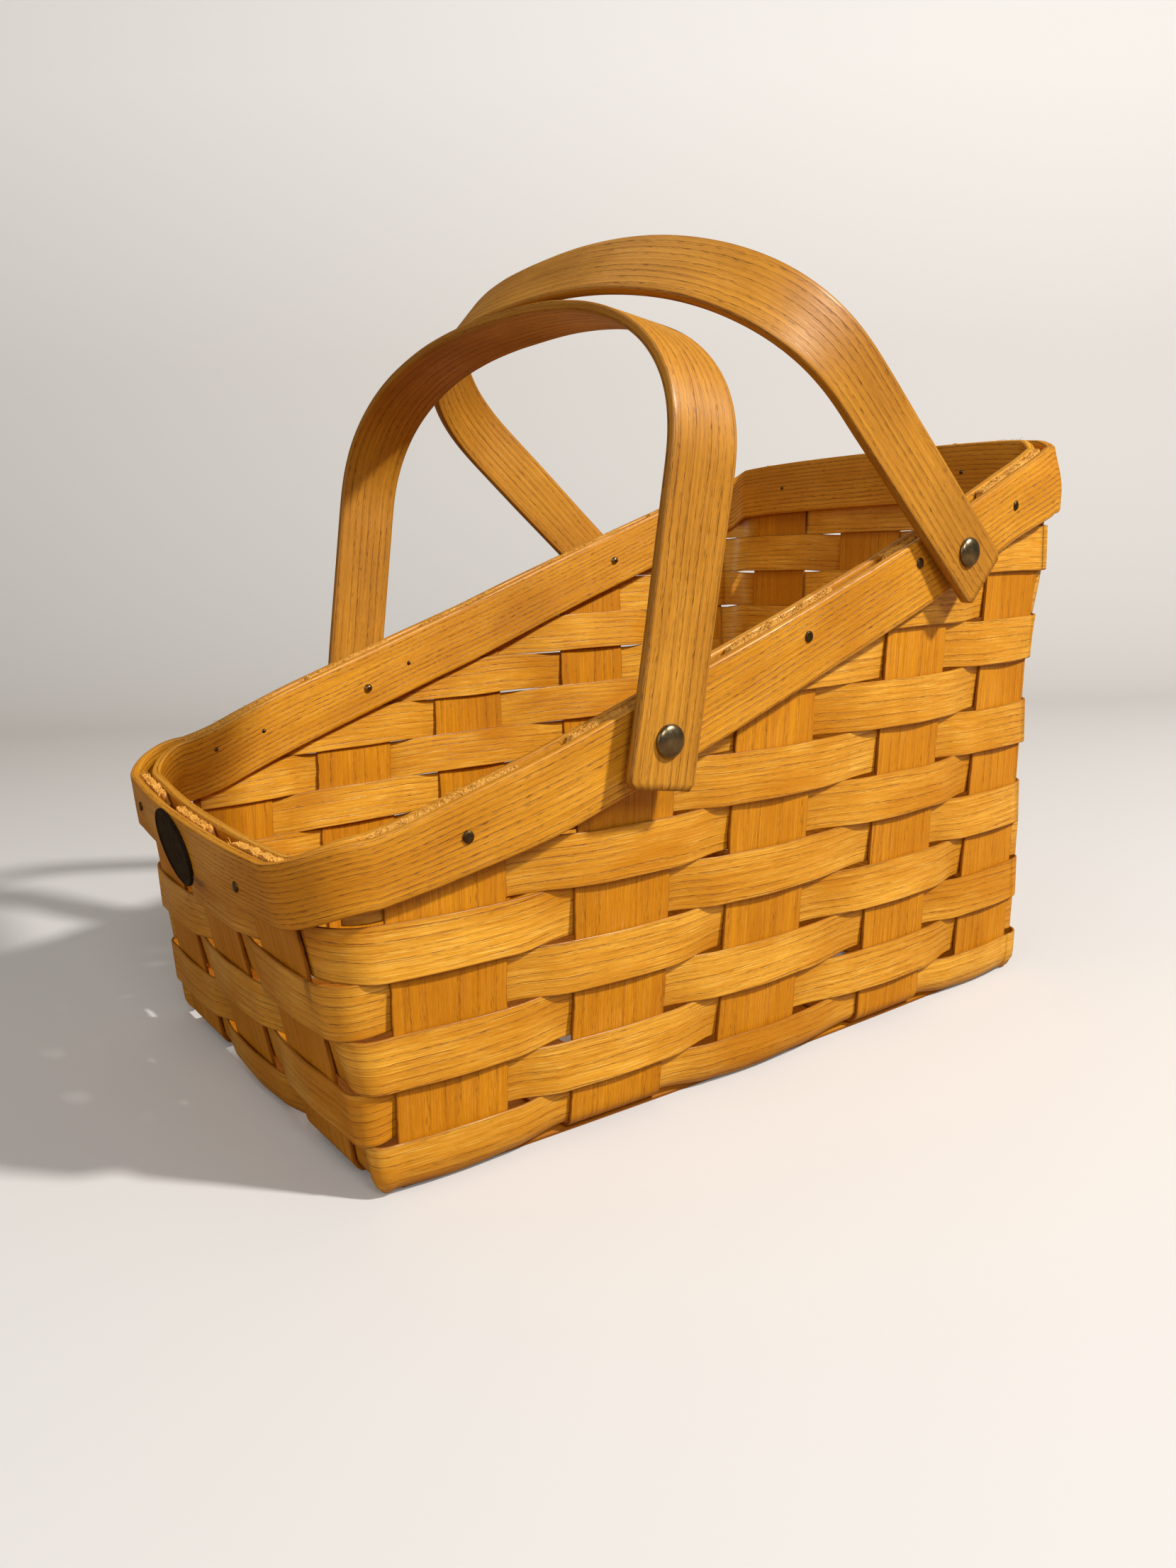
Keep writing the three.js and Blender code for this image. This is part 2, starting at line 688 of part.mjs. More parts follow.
for (let row = 0; row < ALL_ROWS; row++) {
  const bottom = rowLevel(row)
  const top = rowLevel(row + 1) - ROW_GAP
  const closed = row < CLOSED_ROWS
  const bulge = row < CLOSED_ROWS - 1 ? CORNER_BULGE : 0
  const stations = closed ? rowStations(row) : openRow(row, top)
  const sections = stations.map((s) => {
    return row === 0 ? footSection(s, top, bulge) : rowSection(s, bottom, top, bulge)
  })
  add(`weaver_row_${row + 1}`, drill(loft(sections, closed), holes), 0xdca455, 0.5, 0)
}

// Rim bands: closed rings that follow the slanted line.
function rimStations() {
  const stations = []
  const corner = (sign, end, k, steps, towardsEnd) => {
    const turn = towardsEnd ? k / steps : 1 - k / steps
    stations.push({ face: 'corner', sign, end, turn })
  }
  const sidePieces = 14
  const cornerSteps = 8
  for (const sign of [1, -1]) {
    const high = { face: 'corner', sign, end: 1, turn: 0 }
    const low = { face: 'corner', sign, end: -1, turn: 0 }
    const yHigh = planPoint(high, rimTopAt(high)).y
    const yLow = planPoint(low, rimTopAt(low)).y
    const from = sign > 0 ? yLow : yHigh
    const to = sign > 0 ? yHigh : yLow
    for (let i = 1; i < sidePieces; i++) {
      const at = from + (to - from) * i / sidePieces
      stations.push({ face: 'side', sign, at, lean: 0 })
    }
    for (let k = 0; k <= cornerSteps; k++) corner(sign, sign, k, cornerSteps, true)
    const endPieces = sign < 0 ? 6 : 1
    const turned = { face: 'corner', sign: 1, end: sign, turn: 1 }
    const reach = planPoint(turned, rimTopAt(turned)).x
    for (let i = 1; i < endPieces; i++) {
      const at = sign * reach * (1 - 2 * i / endPieces)
      stations.push({ face: 'end', end: sign, at })
    }
    for (let k = 0; k <= cornerSteps; k++) corner(-sign, sign, k, cornerSteps, false)
  }
  return stations
}

function rimBand(inner, outer) {
  return loft(rimStations().map((station) => {
    const top = rimTopAt(station)
    const bottom = top - rimDrop(station, top)
    return [
      wallPoint(station, bottom, outer),
      wallPoint(station, top, outer),
      wallPoint(station, top, inner),
      wallPoint(station, bottom, inner)
    ]
  }), true)
}

add('rim_outer', drill(rimBand(rimInside, rimOutside), holes), 0xd29648, 0.5, 0)
add('rim_inner', drill(rimBand(-rimOutside, -rimInside), holes), 0xcf9245, 0.5, 0)

// Handles: straight arms and a domed top in one bent strip, in the handle's own frame.
function handlePath(foot, rise) {
  const points = []
  const crown = foot + HANDLE_SPREAD
  const arm = (w) => new THREE.Vector2(foot + HANDLE_SPREAD * w / HANDLE_ARM, w)
  const levels = [-HANDLE_END, -HANDLE_END + 2 * HANDLE_END_CUT, 0, HANDLE_ARM / 3]
  levels.push(2 * HANDLE_ARM / 3)
  levels.forEach((w) => points.push(arm(w)))
  const steps = 32
  for (let i = 0; i <= steps; i++) {
    const angle = Math.PI * i / steps
    const c = Math.cos(angle)
    const s = Math.sin(angle)
    const x = crown * Math.sign(c) * Math.abs(c) ** (2 / HANDLE_DOME)
    const w = HANDLE_ARM + (rise - HANDLE_ARM) * Math.abs(s) ** (2 / HANDLE_DOME)
    points.push(new THREE.Vector2(x, w))
  }
  levels.reverse().forEach((w) => {
    const p = arm(w)
    points.push(new THREE.Vector2(-p.x, p.y))
  })
  return points
}

function handleGeometry(place, rise) {
  const path = handlePath(place.foot, rise)
  const sections = path.map((p, i) => {
    const before = path[Math.max(0, i - 1)]
    const after = path[Math.min(path.length - 1, i + 1)]
    const along = after.clone().sub(before).normalize()
    const out = new THREE.Vector2(along.y, -along.x)
    const atEnd = i === 0 || i === path.length - 1
    const w = HANDLE_WIDTH / 2 - (atEnd ? HANDLE_END_CUT : 0)
    const t = HANDLE_THICKNESS / 2
    const e = HANDLE_EDGE
    const rim = [[w - e, t], [w, t - e], [w, e - t], [w - e, -t]]
    const far = rim.map(([a, b]) => [-a, b]).reverse()
    return rim.concat(far).map(([a, b]) => {
      return new THREE.Vector3(p.x + out.x * b, a, p.y + out.y * b)
    })
  })
  return loft(sections, false)
}

function addHandle(name, place, rise, tilt) {
  const length = place.foot + HANDLE_THICKNESS * 2
  const bore = [1, -1].map((sign) => {
    const radius = RIVET_RADIUS + FASTENER_CLEARANCE
    const profile = [[0, place.foot / 2], [radius, place.foot / 2], [radius, length], [0, length]]
    const normal = new THREE.Vector3(sign, 0, 0)
    const geometry = turned(profile, 12, new THREE.Vector3(), normal)
    geometry.computeBoundingBox()
    return { geometry, box: geometry.boundingBox }
  })
  const mesh = add(name, drill(handleGeometry(place, rise), bore), 0xb9823f, 0.5, 0)
  mesh.position.set(0, place.y, place.z)
  mesh.rotation.x = THREE.MathUtils.degToRad(tilt)
}

// The rear handle leans forward until its top comes down on the front handle's top.
function restingTilt() {
  const lean = THREE.MathUtils.degToRad(FRONT_TILT)
  const stop = FRONT_RISE + HANDLE_THICKNESS / 2 + REST_CLEARANCE
  const low = REAR_RISE - HANDLE_THICKNESS / 2
  let tilt = 0
  while (tilt < 80) {
    const next = THREE.MathUtils.degToRad(tilt + 0.1)
    const y = rearPlace.y - low * Math.sin(next) - HANDLE_WIDTH / 2 * Math.cos(next)
    const z = rearPlace.z + low * Math.cos(next) - HANDLE_WIDTH / 2 * Math.sin(next)
    const up = (z - frontPlace.z) * Math.cos(lean) - (y - frontPlace.y) * Math.sin(lean)
    if (up < stop) return tilt
    tilt += 0.1
  }
  return tilt
}

addHandle('handle_front', frontPlace, FRONT_RISE, FRONT_TILT)
addHandle('handle_rear', rearPlace, REAR_RISE, restingTilt())

// The plain oval plate: a flat back and a raised, bevelled face.
const badgeStation = { face: 'end', end: -1, at: BADGE_PLACE }
const badgeHeight = rimMiddle(badgeStation) - BADGE_DROP
const badgeShape = new THREE.Shape()
badgeShape.absellipse(0, 0, BADGE_WIDTH / 2 - 1, BADGE_HEIGHT / 2 - 1, 0, Math.PI * 2, false, 0)
const badge = plain(new THREE.ExtrudeGeometry(badgeShape, {
  depth: BADGE_THICKNESS / 2,
  bevelEnabled: true,
  bevelThickness: BADGE_THICKNESS / 4,
  bevelSize: 1,
  bevelSegments: 1,
  curveSegments: 14
}))
badge.translate(0, 0, BADGE_THICKNESS / 4)
badge.rotateZ(THREE.MathUtils.degToRad(BADGE_TURN))
const badgeFace = wallPoint(badgeStation, badgeHeight, rimOutside + SEAT_CLEARANCE)
const badgeMesh = add('badge_plate', badge, 0x23201d, 0.4, 0.6)
badgeMesh.position.copy(badgeFace)
const badgeSlope = 2 * FRONT_BOW_RISE * badgeHeight * BADGE_PLACE - skewAt(badgeFace.y, badgeHeight)
badgeMesh.rotation.order = 'ZXY'
badgeMesh.rotation.x = Math.PI / 2 + Math.atan(FRONT_FLARE)
badgeMesh.rotation.z = Math.atan(badgeSlope)

export default group
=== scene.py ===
"""Looks of the woven splint basket. Lengths in the plan are millimetres and become
metres when a mesh is made; +Z up, -Y is the low front, +X the near long side."""
import bpy
import json
import math
import random
from functools import lru_cache
from mathutils import Euler, Matrix, Vector, noise


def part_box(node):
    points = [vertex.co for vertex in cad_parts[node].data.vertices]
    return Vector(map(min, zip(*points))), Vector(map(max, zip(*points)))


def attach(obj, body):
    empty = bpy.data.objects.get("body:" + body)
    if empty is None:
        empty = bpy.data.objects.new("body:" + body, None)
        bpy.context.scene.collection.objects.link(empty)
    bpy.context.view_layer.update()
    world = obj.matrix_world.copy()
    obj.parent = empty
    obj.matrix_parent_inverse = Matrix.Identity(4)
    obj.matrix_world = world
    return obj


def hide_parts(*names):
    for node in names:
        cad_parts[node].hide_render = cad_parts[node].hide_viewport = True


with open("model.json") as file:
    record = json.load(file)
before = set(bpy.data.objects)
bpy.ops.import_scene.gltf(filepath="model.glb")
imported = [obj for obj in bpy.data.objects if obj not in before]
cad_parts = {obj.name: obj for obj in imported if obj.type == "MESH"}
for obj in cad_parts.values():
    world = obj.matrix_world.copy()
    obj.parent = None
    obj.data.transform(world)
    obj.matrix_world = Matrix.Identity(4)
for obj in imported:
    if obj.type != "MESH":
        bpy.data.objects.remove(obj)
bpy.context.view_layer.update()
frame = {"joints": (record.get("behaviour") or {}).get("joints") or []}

# ---------------- the basket's plan
HALF_WIDTH = 101.6
SIDE_FLARE = 0.06
SIDE_BOW, SIDE_BOW_RISE = 0.00015, 0.0000022
# by end: -1 the low front, 1 the tall back
LENGTH = {-1: 156.55, 1: 162.115}
FLARE = {-1: 0.161, 1: 0.05}
FRONT_BOW_RISE = 0.0000035
CORNER = {-1: (5.5, 0.18), 1: (11.5, 0.005)}
BASE_BEND = 6
SKEW, SKEW_HEIGHT, SKEW_START, SKEW_FULL = 0.035, 105, 90, 150
SPLINT_WIDTH, SPLINT_THICKNESS = 38, 1.2
WEAVER_THICKNESS, CLEAR, MARGIN = 1.0, 0.3, 0.6
# where the splints stand: along the sides, with their lean, and along the ends
CROSS = [-131.4, -69.2, -5.2, 70.6, 133.5]
LEANS = [0.03, 0.03, 0.03, 0.03, 0.05]
LONG = [-63, 0, 63]
FIRST_ROW_TOP, ROW_PITCH, ROW_SPREAD, ROW_GAP = 18.4, 17.1, 0.1, 0.6
CLOSED_ROWS, ALL_ROWS, ROW_TUCK, CORNER_BULGE = 5, 12, 3, 2
FRONT_RIM_TOP, FRONT_RIM_SAG, BACK_RIM_TOP, BACK_RIM_FALL, SIDE_RIM_LOW = 107, 3.5, 237, 3, 112
RIM_LINE, RIM_SLOPE, RIM_EASE = 169.3, 0.375, 8
FRONT_RIM_FALL, FRONT_RIM_HEIGHT, RIM_NARROWING = 0.02, 20.6, 60
FAR_RIM_LIFT, FAR_LIFT_LENGTH = 5.5, 125
RIM_HEIGHT, RIM_THICKNESS, RIM_CLEARANCE = 25.7, 3.6, 0.4
# the tall near corner stands further out: by how much, and where that starts and fades
CORNER_SWELL, BASE_CORNER_SWELL = 4.2, 1.6
SWELL_ON_SIDE, SWELL_ON_BACK = (132, 34), (70, 36)
SWELL_FOOT, SWELL_TOP = (140, 45), (236, 24)
# the filler strips at the long edges of the base
EDGE_START, EDGE_LENGTH, EDGE_STEPS, EDGE_HALF, EDGE_INSET = -148, 300, 40, 9.0, 3.1
# worn edges, waves of the split faces, and how a free stretch of a row leans, dips and crowns
SPLINT_EDGE, WEAVER_EDGE, RIM_EDGE, HANDLE_EDGE = 0.25, 0.22, 0.8, 0.85
SPLINT_WAVE, WALL_WAVE, ROW_WAVE, RIM_WAVE, BAND_WAVE = 0.45, 0.12, 0.28, 0.25, 0.15
ROW_SPARE, LOW_ROW_SPARE, FREE_FROM, FREE_OVER, ROW_DIP = 0.28, 0.1, 0.5, 7, 0.5
ROW_CROWN, ROW_LEAN, RUN_ON = (0.3, 0.5), (0.2, 0.3), 1.5
# the torn ends between the bands
SPLINT_TOP, FILL_GAP, FILL_TOP, FILL_EDGE, FILL_DEPTH = 0.8, 0.12, 0.7, 3.2, 4.6
CORNER_FILLING, LEAN_AT_RIM, FIBRES, FIBRE_REACH = 28, 4.2, 110, 2.1
HANDLE_WIDTH, HANDLE_THICKNESS, HANDLE_SPREAD = 26.5, 3.6, 1.8
HANDLE_ARM, HANDLE_DOME, HANDLE_END, HANDLE_ROUND, HANDLE_STEP = 84, 2.4, 16, 2.2, 2.4
RIVET_HEAD, RIVET_RISE, RIVET_PIN, TIP = 5.5, 2.4, 1.9, 0.05
PLATE_AT, PLATE_DROP, PLATE_TURN, PLATE_HALF = -14, 3, 12, (19.5, 13.5)

BASE_MIDDLE = 1.5 * SPLINT_THICKNESS + CLEAR
BASE_STEP = SPLINT_THICKNESS + CLEAR
BEND_TOP = BASE_MIDDLE + BASE_BEND
WEAVE = SPLINT_THICKNESS / 2 + CLEAR + WEAVER_THICKNESS / 2
RIM_IN = WEAVE + WEAVER_THICKNESS / 2 + RIM_CLEARANCE
RIM_OUT = RIM_IN + RIM_THICKNESS


def bow(z):
    return SIDE_BOW + SIDE_BOW_RISE * z


def side_x(y, z):
    return HALF_WIDTH + SIDE_FLARE * z - bow(z) * y * y


def end_y(end, z):
    return LENGTH[end] + FLARE[end] * z


def side(sign, at, lean=0.0):
    return {"face": "side", "sign": sign, "at": at, "lean": lean}


def head(end, at):
    return {"face": "end", "end": end, "at": at}


def corner(sign, end, turn, start=None, stop=None):
    return {"face": "corner", "sign": sign, "end": end, "turn": turn, "start": start, "stop": stop}


@lru_cache(maxsize=None)
def arc_of(end, z):
    """Round corner between a long side and an end: centre, radius, first and last angle."""
    radius = CORNER[end][0] + CORNER[end][1] * z
    front = FRONT_BOW_RISE * z if end < 0 else 0.0
    x, y, first, last = HALF_WIDTH - radius, end_y(end, z) - radius, 0.0, math.pi / 2
    for _ in range(8):
        side_at = y + radius * math.sin(first)
        first = math.atan(2 * bow(z) * side_at)
        x = side_x(side_at, z) - radius * math.cos(first)
        end_at = x + radius * math.cos(last)
        last = math.pi / 2 - math.atan(2 * front * end_at)
        y = end_y(end, z) - front * end_at * end_at - radius * math.sin(last)
    return x, y, radius, first, last, front


def arc_angle(arc, st, z):
    """Angle at which a station on a flat face would meet the round corner."""
    x, y, radius, first, last, _ = arc
    if st["face"] == "side":
        share = (abs(st["at"] + st["lean"] * z) - y) / radius
        return max(first, math.asin(min(1.0, max(-1.0, share))))
    return min(last, math.acos(min(1.0, max(-1.0, (abs(st["at"]) - x) / radius))))


def arc_point(arc, sign, end, angle):
    nx, ny = math.cos(angle), math.sin(angle)
    return sign * (arc[0] + arc[2] * nx), end * (arc[1] + arc[2] * ny), sign * nx, end * ny


def plan(st, z):
    """A point of the wall's middle surface and its outward normal, at height z."""
    if st["face"] == "side":
        y = st["at"] + st["lean"] * z
        end = 1 if y >= 0 else -1
        arc = arc_of(end, round(z, 2))
        angle = arc_angle(arc, st, z)
        if angle > arc[3]:
            return arc_point(arc, st["sign"], end, angle)
        slope = 2 * bow(z) * y
        n = math.hypot(1, slope)
        return st["sign"] * side_x(y, z), y, st["sign"] / n, slope / n
    end = st["end"]
    arc = arc_of(end, round(z, 2))
    if st["face"] == "end":
        angle = arc_angle(arc, st, z)
        if angle < arc[4]:
            return arc_point(arc, math.copysign(1, st["at"]), end, angle)
        slope = 2 * arc[5] * st["at"]
        n = math.hypot(1, slope)
        return st["at"], end * (end_y(end, z) - arc[5] * st["at"] ** 2), slope / n, end / n
    first = arc_angle(arc, st["start"], z) if st["start"] else arc[3]
    last = arc_angle(arc, st["stop"], z) if st["stop"] else arc[4]
    return arc_point(arc, st["sign"], end, first + (last - first) * st["turn"])


def smooth(t):
    t = min(1.0, max(0.0, t))
    return t * t * (3 - 2 * t)


def skew(y, z):
    return SKEW * (z / SKEW_HEIGHT) ** 2 * smooth((-y - SKEW_START) / (SKEW_FULL - SKEW_START))


def tall_corner(st):
    """1 at the tall near corner, fading out along the two faces that meet there."""
    if st["face"] == "corner":
        return 1.0 if st["sign"] > 0 and st["end"] > 0 else 0.0
    if st["face"] == "side":
        start, length = SWELL_ON_SIDE
        return smooth((st["at"] - start) / length) if st["sign"] > 0 else 0.0
    start, length = SWELL_ON_BACK
    return smooth((st["at"] - start) / length) if st["end"] > 0 else 0.0


def wall(st, z, h):
    """A point of the upright wall, h off its middle surface."""
    x, y, nx, ny = plan(st, z)
    rise = smooth((z - SWELL_FOOT[0]) / SWELL_FOOT[1])
    fall = smooth((SWELL_TOP[0] - z) / SWELL_TOP[1])
    h += CORNER_SWELL * tall_corner(st) * rise * fall
    x, y = x + nx * h, y + ny * h
    return Vector((x, y - x * skew(y, z), z))


def bend(st, angle, h, lift=0.0):
    """A point of the bend from the base (angle 0) up to the wall."""
    inward = (BASE_BEND + h) * math.sin(angle) - BASE_BEND
    x, y, nx, ny = plan(st, BEND_TOP)
    z = BEND_TOP - (BASE_BEND + h) * math.cos(angle) + lift
    return Vector((x + nx * inward, y + ny * inward, z))


def side_rim_top(y, sign):
    lift = FAR_RIM_LIFT * min(1.0, max(0.0, -y / FAR_LIFT_LENGTH)) if sign < 0 else 0.0
    line = RIM_LINE + RIM_SLOPE * y
    above = line - SIDE_RIM_LOW
    if above > RIM_EASE:
        return line + lift
    if above < -RIM_EASE:
        return SIDE_RIM_LOW + lift
    return SIDE_RIM_LOW + (above + RIM_EASE) ** 2 / (4 * RIM_EASE) + lift


def end_rim_top(end, x):
    if end > 0:
        return BACK_RIM_TOP - BACK_RIM_FALL * (x / HALF_WIDTH) ** 4
    return FRONT_RIM_TOP - FRONT_RIM_FALL * x + FRONT_RIM_SAG * (x / HALF_WIDTH) ** 2


def rim_top(st):
    """Height of the rim's upper edge over a station."""
    if st["face"] == "end":
        return end_rim_top(st["end"], st["at"])
    on = st if st["face"] == "side" else {**st, "turn": 0}
    z = FRONT_RIM_TOP
    for _ in range(6):
        z = side_rim_top(plan(on, z)[1], st["sign"])
    if st["face"] == "side":
        return z
    t = st["turn"]
    level = end_rim_top(st["end"], plan({**st, "turn": 1}, z)[0])
    return z + (level - z) * t * t * (3 - 2 * t)


def rim_drop(st, z):
    """Upright height of the band, which narrows towards the front and grows where it slopes."""
    if st["face"] == "end":
        return FRONT_RIM_HEIGHT if st["end"] < 0 else RIM_HEIGHT
    on = st if st["face"] == "side" else {**st, "turn": 0}
    y = plan(on, z)[1]
    above = RIM_LINE + RIM_SLOPE * y - SIDE_RIM_LOW
    slope = RIM_SLOPE * min(1.0, max(0.0, (above + RIM_EASE) / (2 * RIM_EASE)))
    turn = st["turn"] if st["face"] == "corner" and st["end"] < 0 else 0.0
    narrow = (y + arc_of(-1, round(z, 2))[1]) / RIM_NARROWING if st["sign"] > 0 else 1 - turn
    share = smooth(narrow)
    height = FRONT_RIM_HEIGHT + (RIM_HEIGHT - FRONT_RIM_HEIGHT) * share
    return height * math.hypot(1, slope * plan(st, z)[2])


def rim_middle(st):
    z = rim_top(st)
    return z - rim_drop(st, z) / 2


def wob(a, b=0.0, c=0.0):
    """Smooth noise from -1 to 1, the same every run."""
    return noise.noise(Vector((a, b + 7.3, c + 3.1))) * 1.6


# ---------------- mesh making
def make(name, verts, faces, uvs, edge, mat, node, body, rounded=True):
    """One visible piece from points in millimetres; edge is 1 on a strip's thin sides and smaller
    beside them, where the wood shader darkens the colour, partly for the split wood's dark edge and
    partly as painted shade.
    """
    mesh = bpy.data.meshes.new(name)
    mesh.from_pydata([v * 0.001 for v in verts], [], faces)
    layer = mesh.uv_layers.new(name="grain")
    flat = [c for face in uvs for uv in face for c in uv]
    layer.data.foreach_set("uv", flat)
    if edge is not None:
        attr = mesh.attributes.new("edge", "FLOAT", "POINT")
        attr.data.foreach_set("value", edge)
    mesh.polygons.foreach_set("use_smooth", [rounded] * len(faces))
    mesh.update()
    piece = bpy.data.objects.new(name, mesh)
    bpy.context.scene.collection.objects.link(piece)
    mesh.materials.append(mat)
    if node:
        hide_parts(*([node] if isinstance(node, str) else node))
    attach(piece, body)
    return piece


def ring_profile(thick, e, across):
    """Points round a strip's section as (share of half width, inset, height, edge)."""
    t, r = thick / 2, e * 0.3
    front = [(-1.0, e, t, 0.75), (-1.0, e * 2.6, t, 0.3)]
    front += [(-1 + 2 * k / across, 0.0, t, 0.0) for k in range(1, across)]
    front += [(1.0, -e * 2.6, t, 0.3), (1.0, -e, t, 0.75)]
    back = [(q, i, -h, g) for q, i, h, g in front[::-1]]
    right = [(1, -r, t - r, 1.0), (1, 0, t - e, 1.0), (1, 0, e - t, 1.0), (1, -r, r - t, 1.0)]
    left = [(-1, r, r - t, 1.0), (-1, 0, e - t, 1.0), (-1, 0, t - e, 1.0), (-1, r, t - r, 1.0)]
    return front + right + back + left


def sweep(name, stations, place, half, thick, e, across, closed, mat, node, body, seed,
          u0=0.0):
    """One strip along the stations: place(i, v, h) gives the point v across and h off the
    middle surface, half is its half width, e the size of its worn edges."""
    profile = ring_profile(thick, e, across)
    n, m = len(stations), len(profile)
    verts, edge, mids = [], [], []
    for i in range(n):
        w = half(i) if callable(half) else half
        verts += [place(i, q * w + inset, h) for q, inset, h, _ in profile]
        edge += [g for *_, g in profile]
        mids.append(place(i, 0.0, 0.0))
    u = [u0]
    for a, b in zip(mids, mids[1:] + mids[:1]):
        u.append(u[-1] + (b - a).length * 0.001)
    w = half(0) if callable(half) else half
    v = [0.0]
    flat = [(q * w + inset, h) for q, inset, h, _ in profile]
    for a, b in zip(flat, flat[1:] + flat[:1]):
        v.append(v[-1] + math.dist(a, b) * 0.001)
    v = [c + seed * 0.37 for c in v]
    faces, uvs = [], []
    for i in range(n if closed else n - 1):
        a, b = i * m, ((i + 1) % n) * m
        for j in range(m):
            k = (j + 1) % m
            faces.append((a + j, b + j, b + k, a + k))
            u1, v1 = u[i + 1], v[j + 1]
            uvs.append(((u[i], v[j]), (u1, v[j]), (u1, v1), (u[i], v1)))
    if not closed:
        for start, order in ((0, 1), ((n - 1) * m, -1)):
            face = tuple(start + j for j in range(m))[::order]
            faces.append(face)
            uvs.append(tuple((u[0] + verts[j].x * 1e-4, v[0] + j * 1e-5) for j in face))
    fix_normals(make(name, verts, faces, uvs, edge, mat, node, body))


def fix_normals(piece):
    """Turns the faces out if the sweep ran the other way round."""
    mesh = piece.data
    volume = 0.0
    co = [v.co for v in mesh.vertices]
    for p in mesh.polygons:
        a = co[p.vertices[0]]
        for s, t in zip(p.vertices[1:], p.vertices[2:]):
            volume += a.dot(co[s].cross(co[t]))
    if volume < 0:
        mesh.flip_normals()


# ---------------- materials
class Graph:
    """Small helper that wires shader nodes."""

    def __init__(self, name):
        self.mat = bpy.data.materials.new(name)
        self.mat.use_nodes = True
        self.tree = self.mat.node_tree
        self.bsdf = self.tree.nodes["Principled BSDF"]

    def node(self, kind, **sets):
        n = self.tree.nodes.new(kind)
        for key, value in sets.items():
            setattr(n, key, value)
        return n

    def link(self, a, b):
        self.tree.links.new(a, b)

    def put(self, n, index, value):
        if isinstance(value, bpy.types.NodeSocket):
            self.link(value, n.inputs[index])
        else:
            n.inputs[index].default_value = value

    def math(self, op, a, b=0.0, clamp=False):
        n = self.node("ShaderNodeMath", operation=op, use_clamp=clamp)
        for i, value in enumerate((a, b)):
            self.put(n, i, value)
        return n.outputs[0]

    def mix(self, t, a, b):
        n = self.node("ShaderNodeMix", data_type="RGBA")
        self.put(n, 0, t)
        for i, value in ((6, a), (7, b)):
            if isinstance(value, tuple):
                value = (*value, 1.0)
            self.put(n, i, value)
        return n.outputs[2]

    def vec(self, x, y, z):
        n = self.node("ShaderNodeCombineXYZ")
        for i, value in enumerate((x, y, z)):
            self.put(n, i, value)
        return n.outputs[0]

    def noise(self, vector, scale, detail, rough):
        n = self.node("ShaderNodeTexNoise")
        self.link(vector, n.inputs["Vector"])
        n.inputs["Scale"].default_value = scale
        n.inputs["Detail"].default_value = detail
        n.inputs["Roughness"].default_value = rough
        return n.outputs["Fac"]

    def ramp(self, value, stops):
        n = self.node("ShaderNodeValToRGB")
        el = n.color_ramp.elements
        el[0].position, el[0].color = stops[0][0], (*[stops[0][1]] * 3, 1)
        el[1].position, el[1].color = stops[-1][0], (*[stops[-1][1]] * 3, 1)
        for p, c in stops[1:-1]:
            s = el.new(p)
            s.color = (c, c, c, 1)
        self.link(value, n.inputs[0])
        return n.outputs[0]

    def plain(self, **values):
        """Plain values of the surface's inputs, with _ for a space."""
        for key, value in values.items():
            self.bsdf.inputs[key.replace("_", " ")].default_value = value

    def bump(self, height, strength, distance):
        n = self.node("ShaderNodeBump")
        n.inputs["Strength"].default_value = strength
        n.inputs["Distance"].default_value = distance
        self.link(height, n.inputs["Height"])
        self.link(n.outputs[0], self.bsdf.inputs["Normal"])


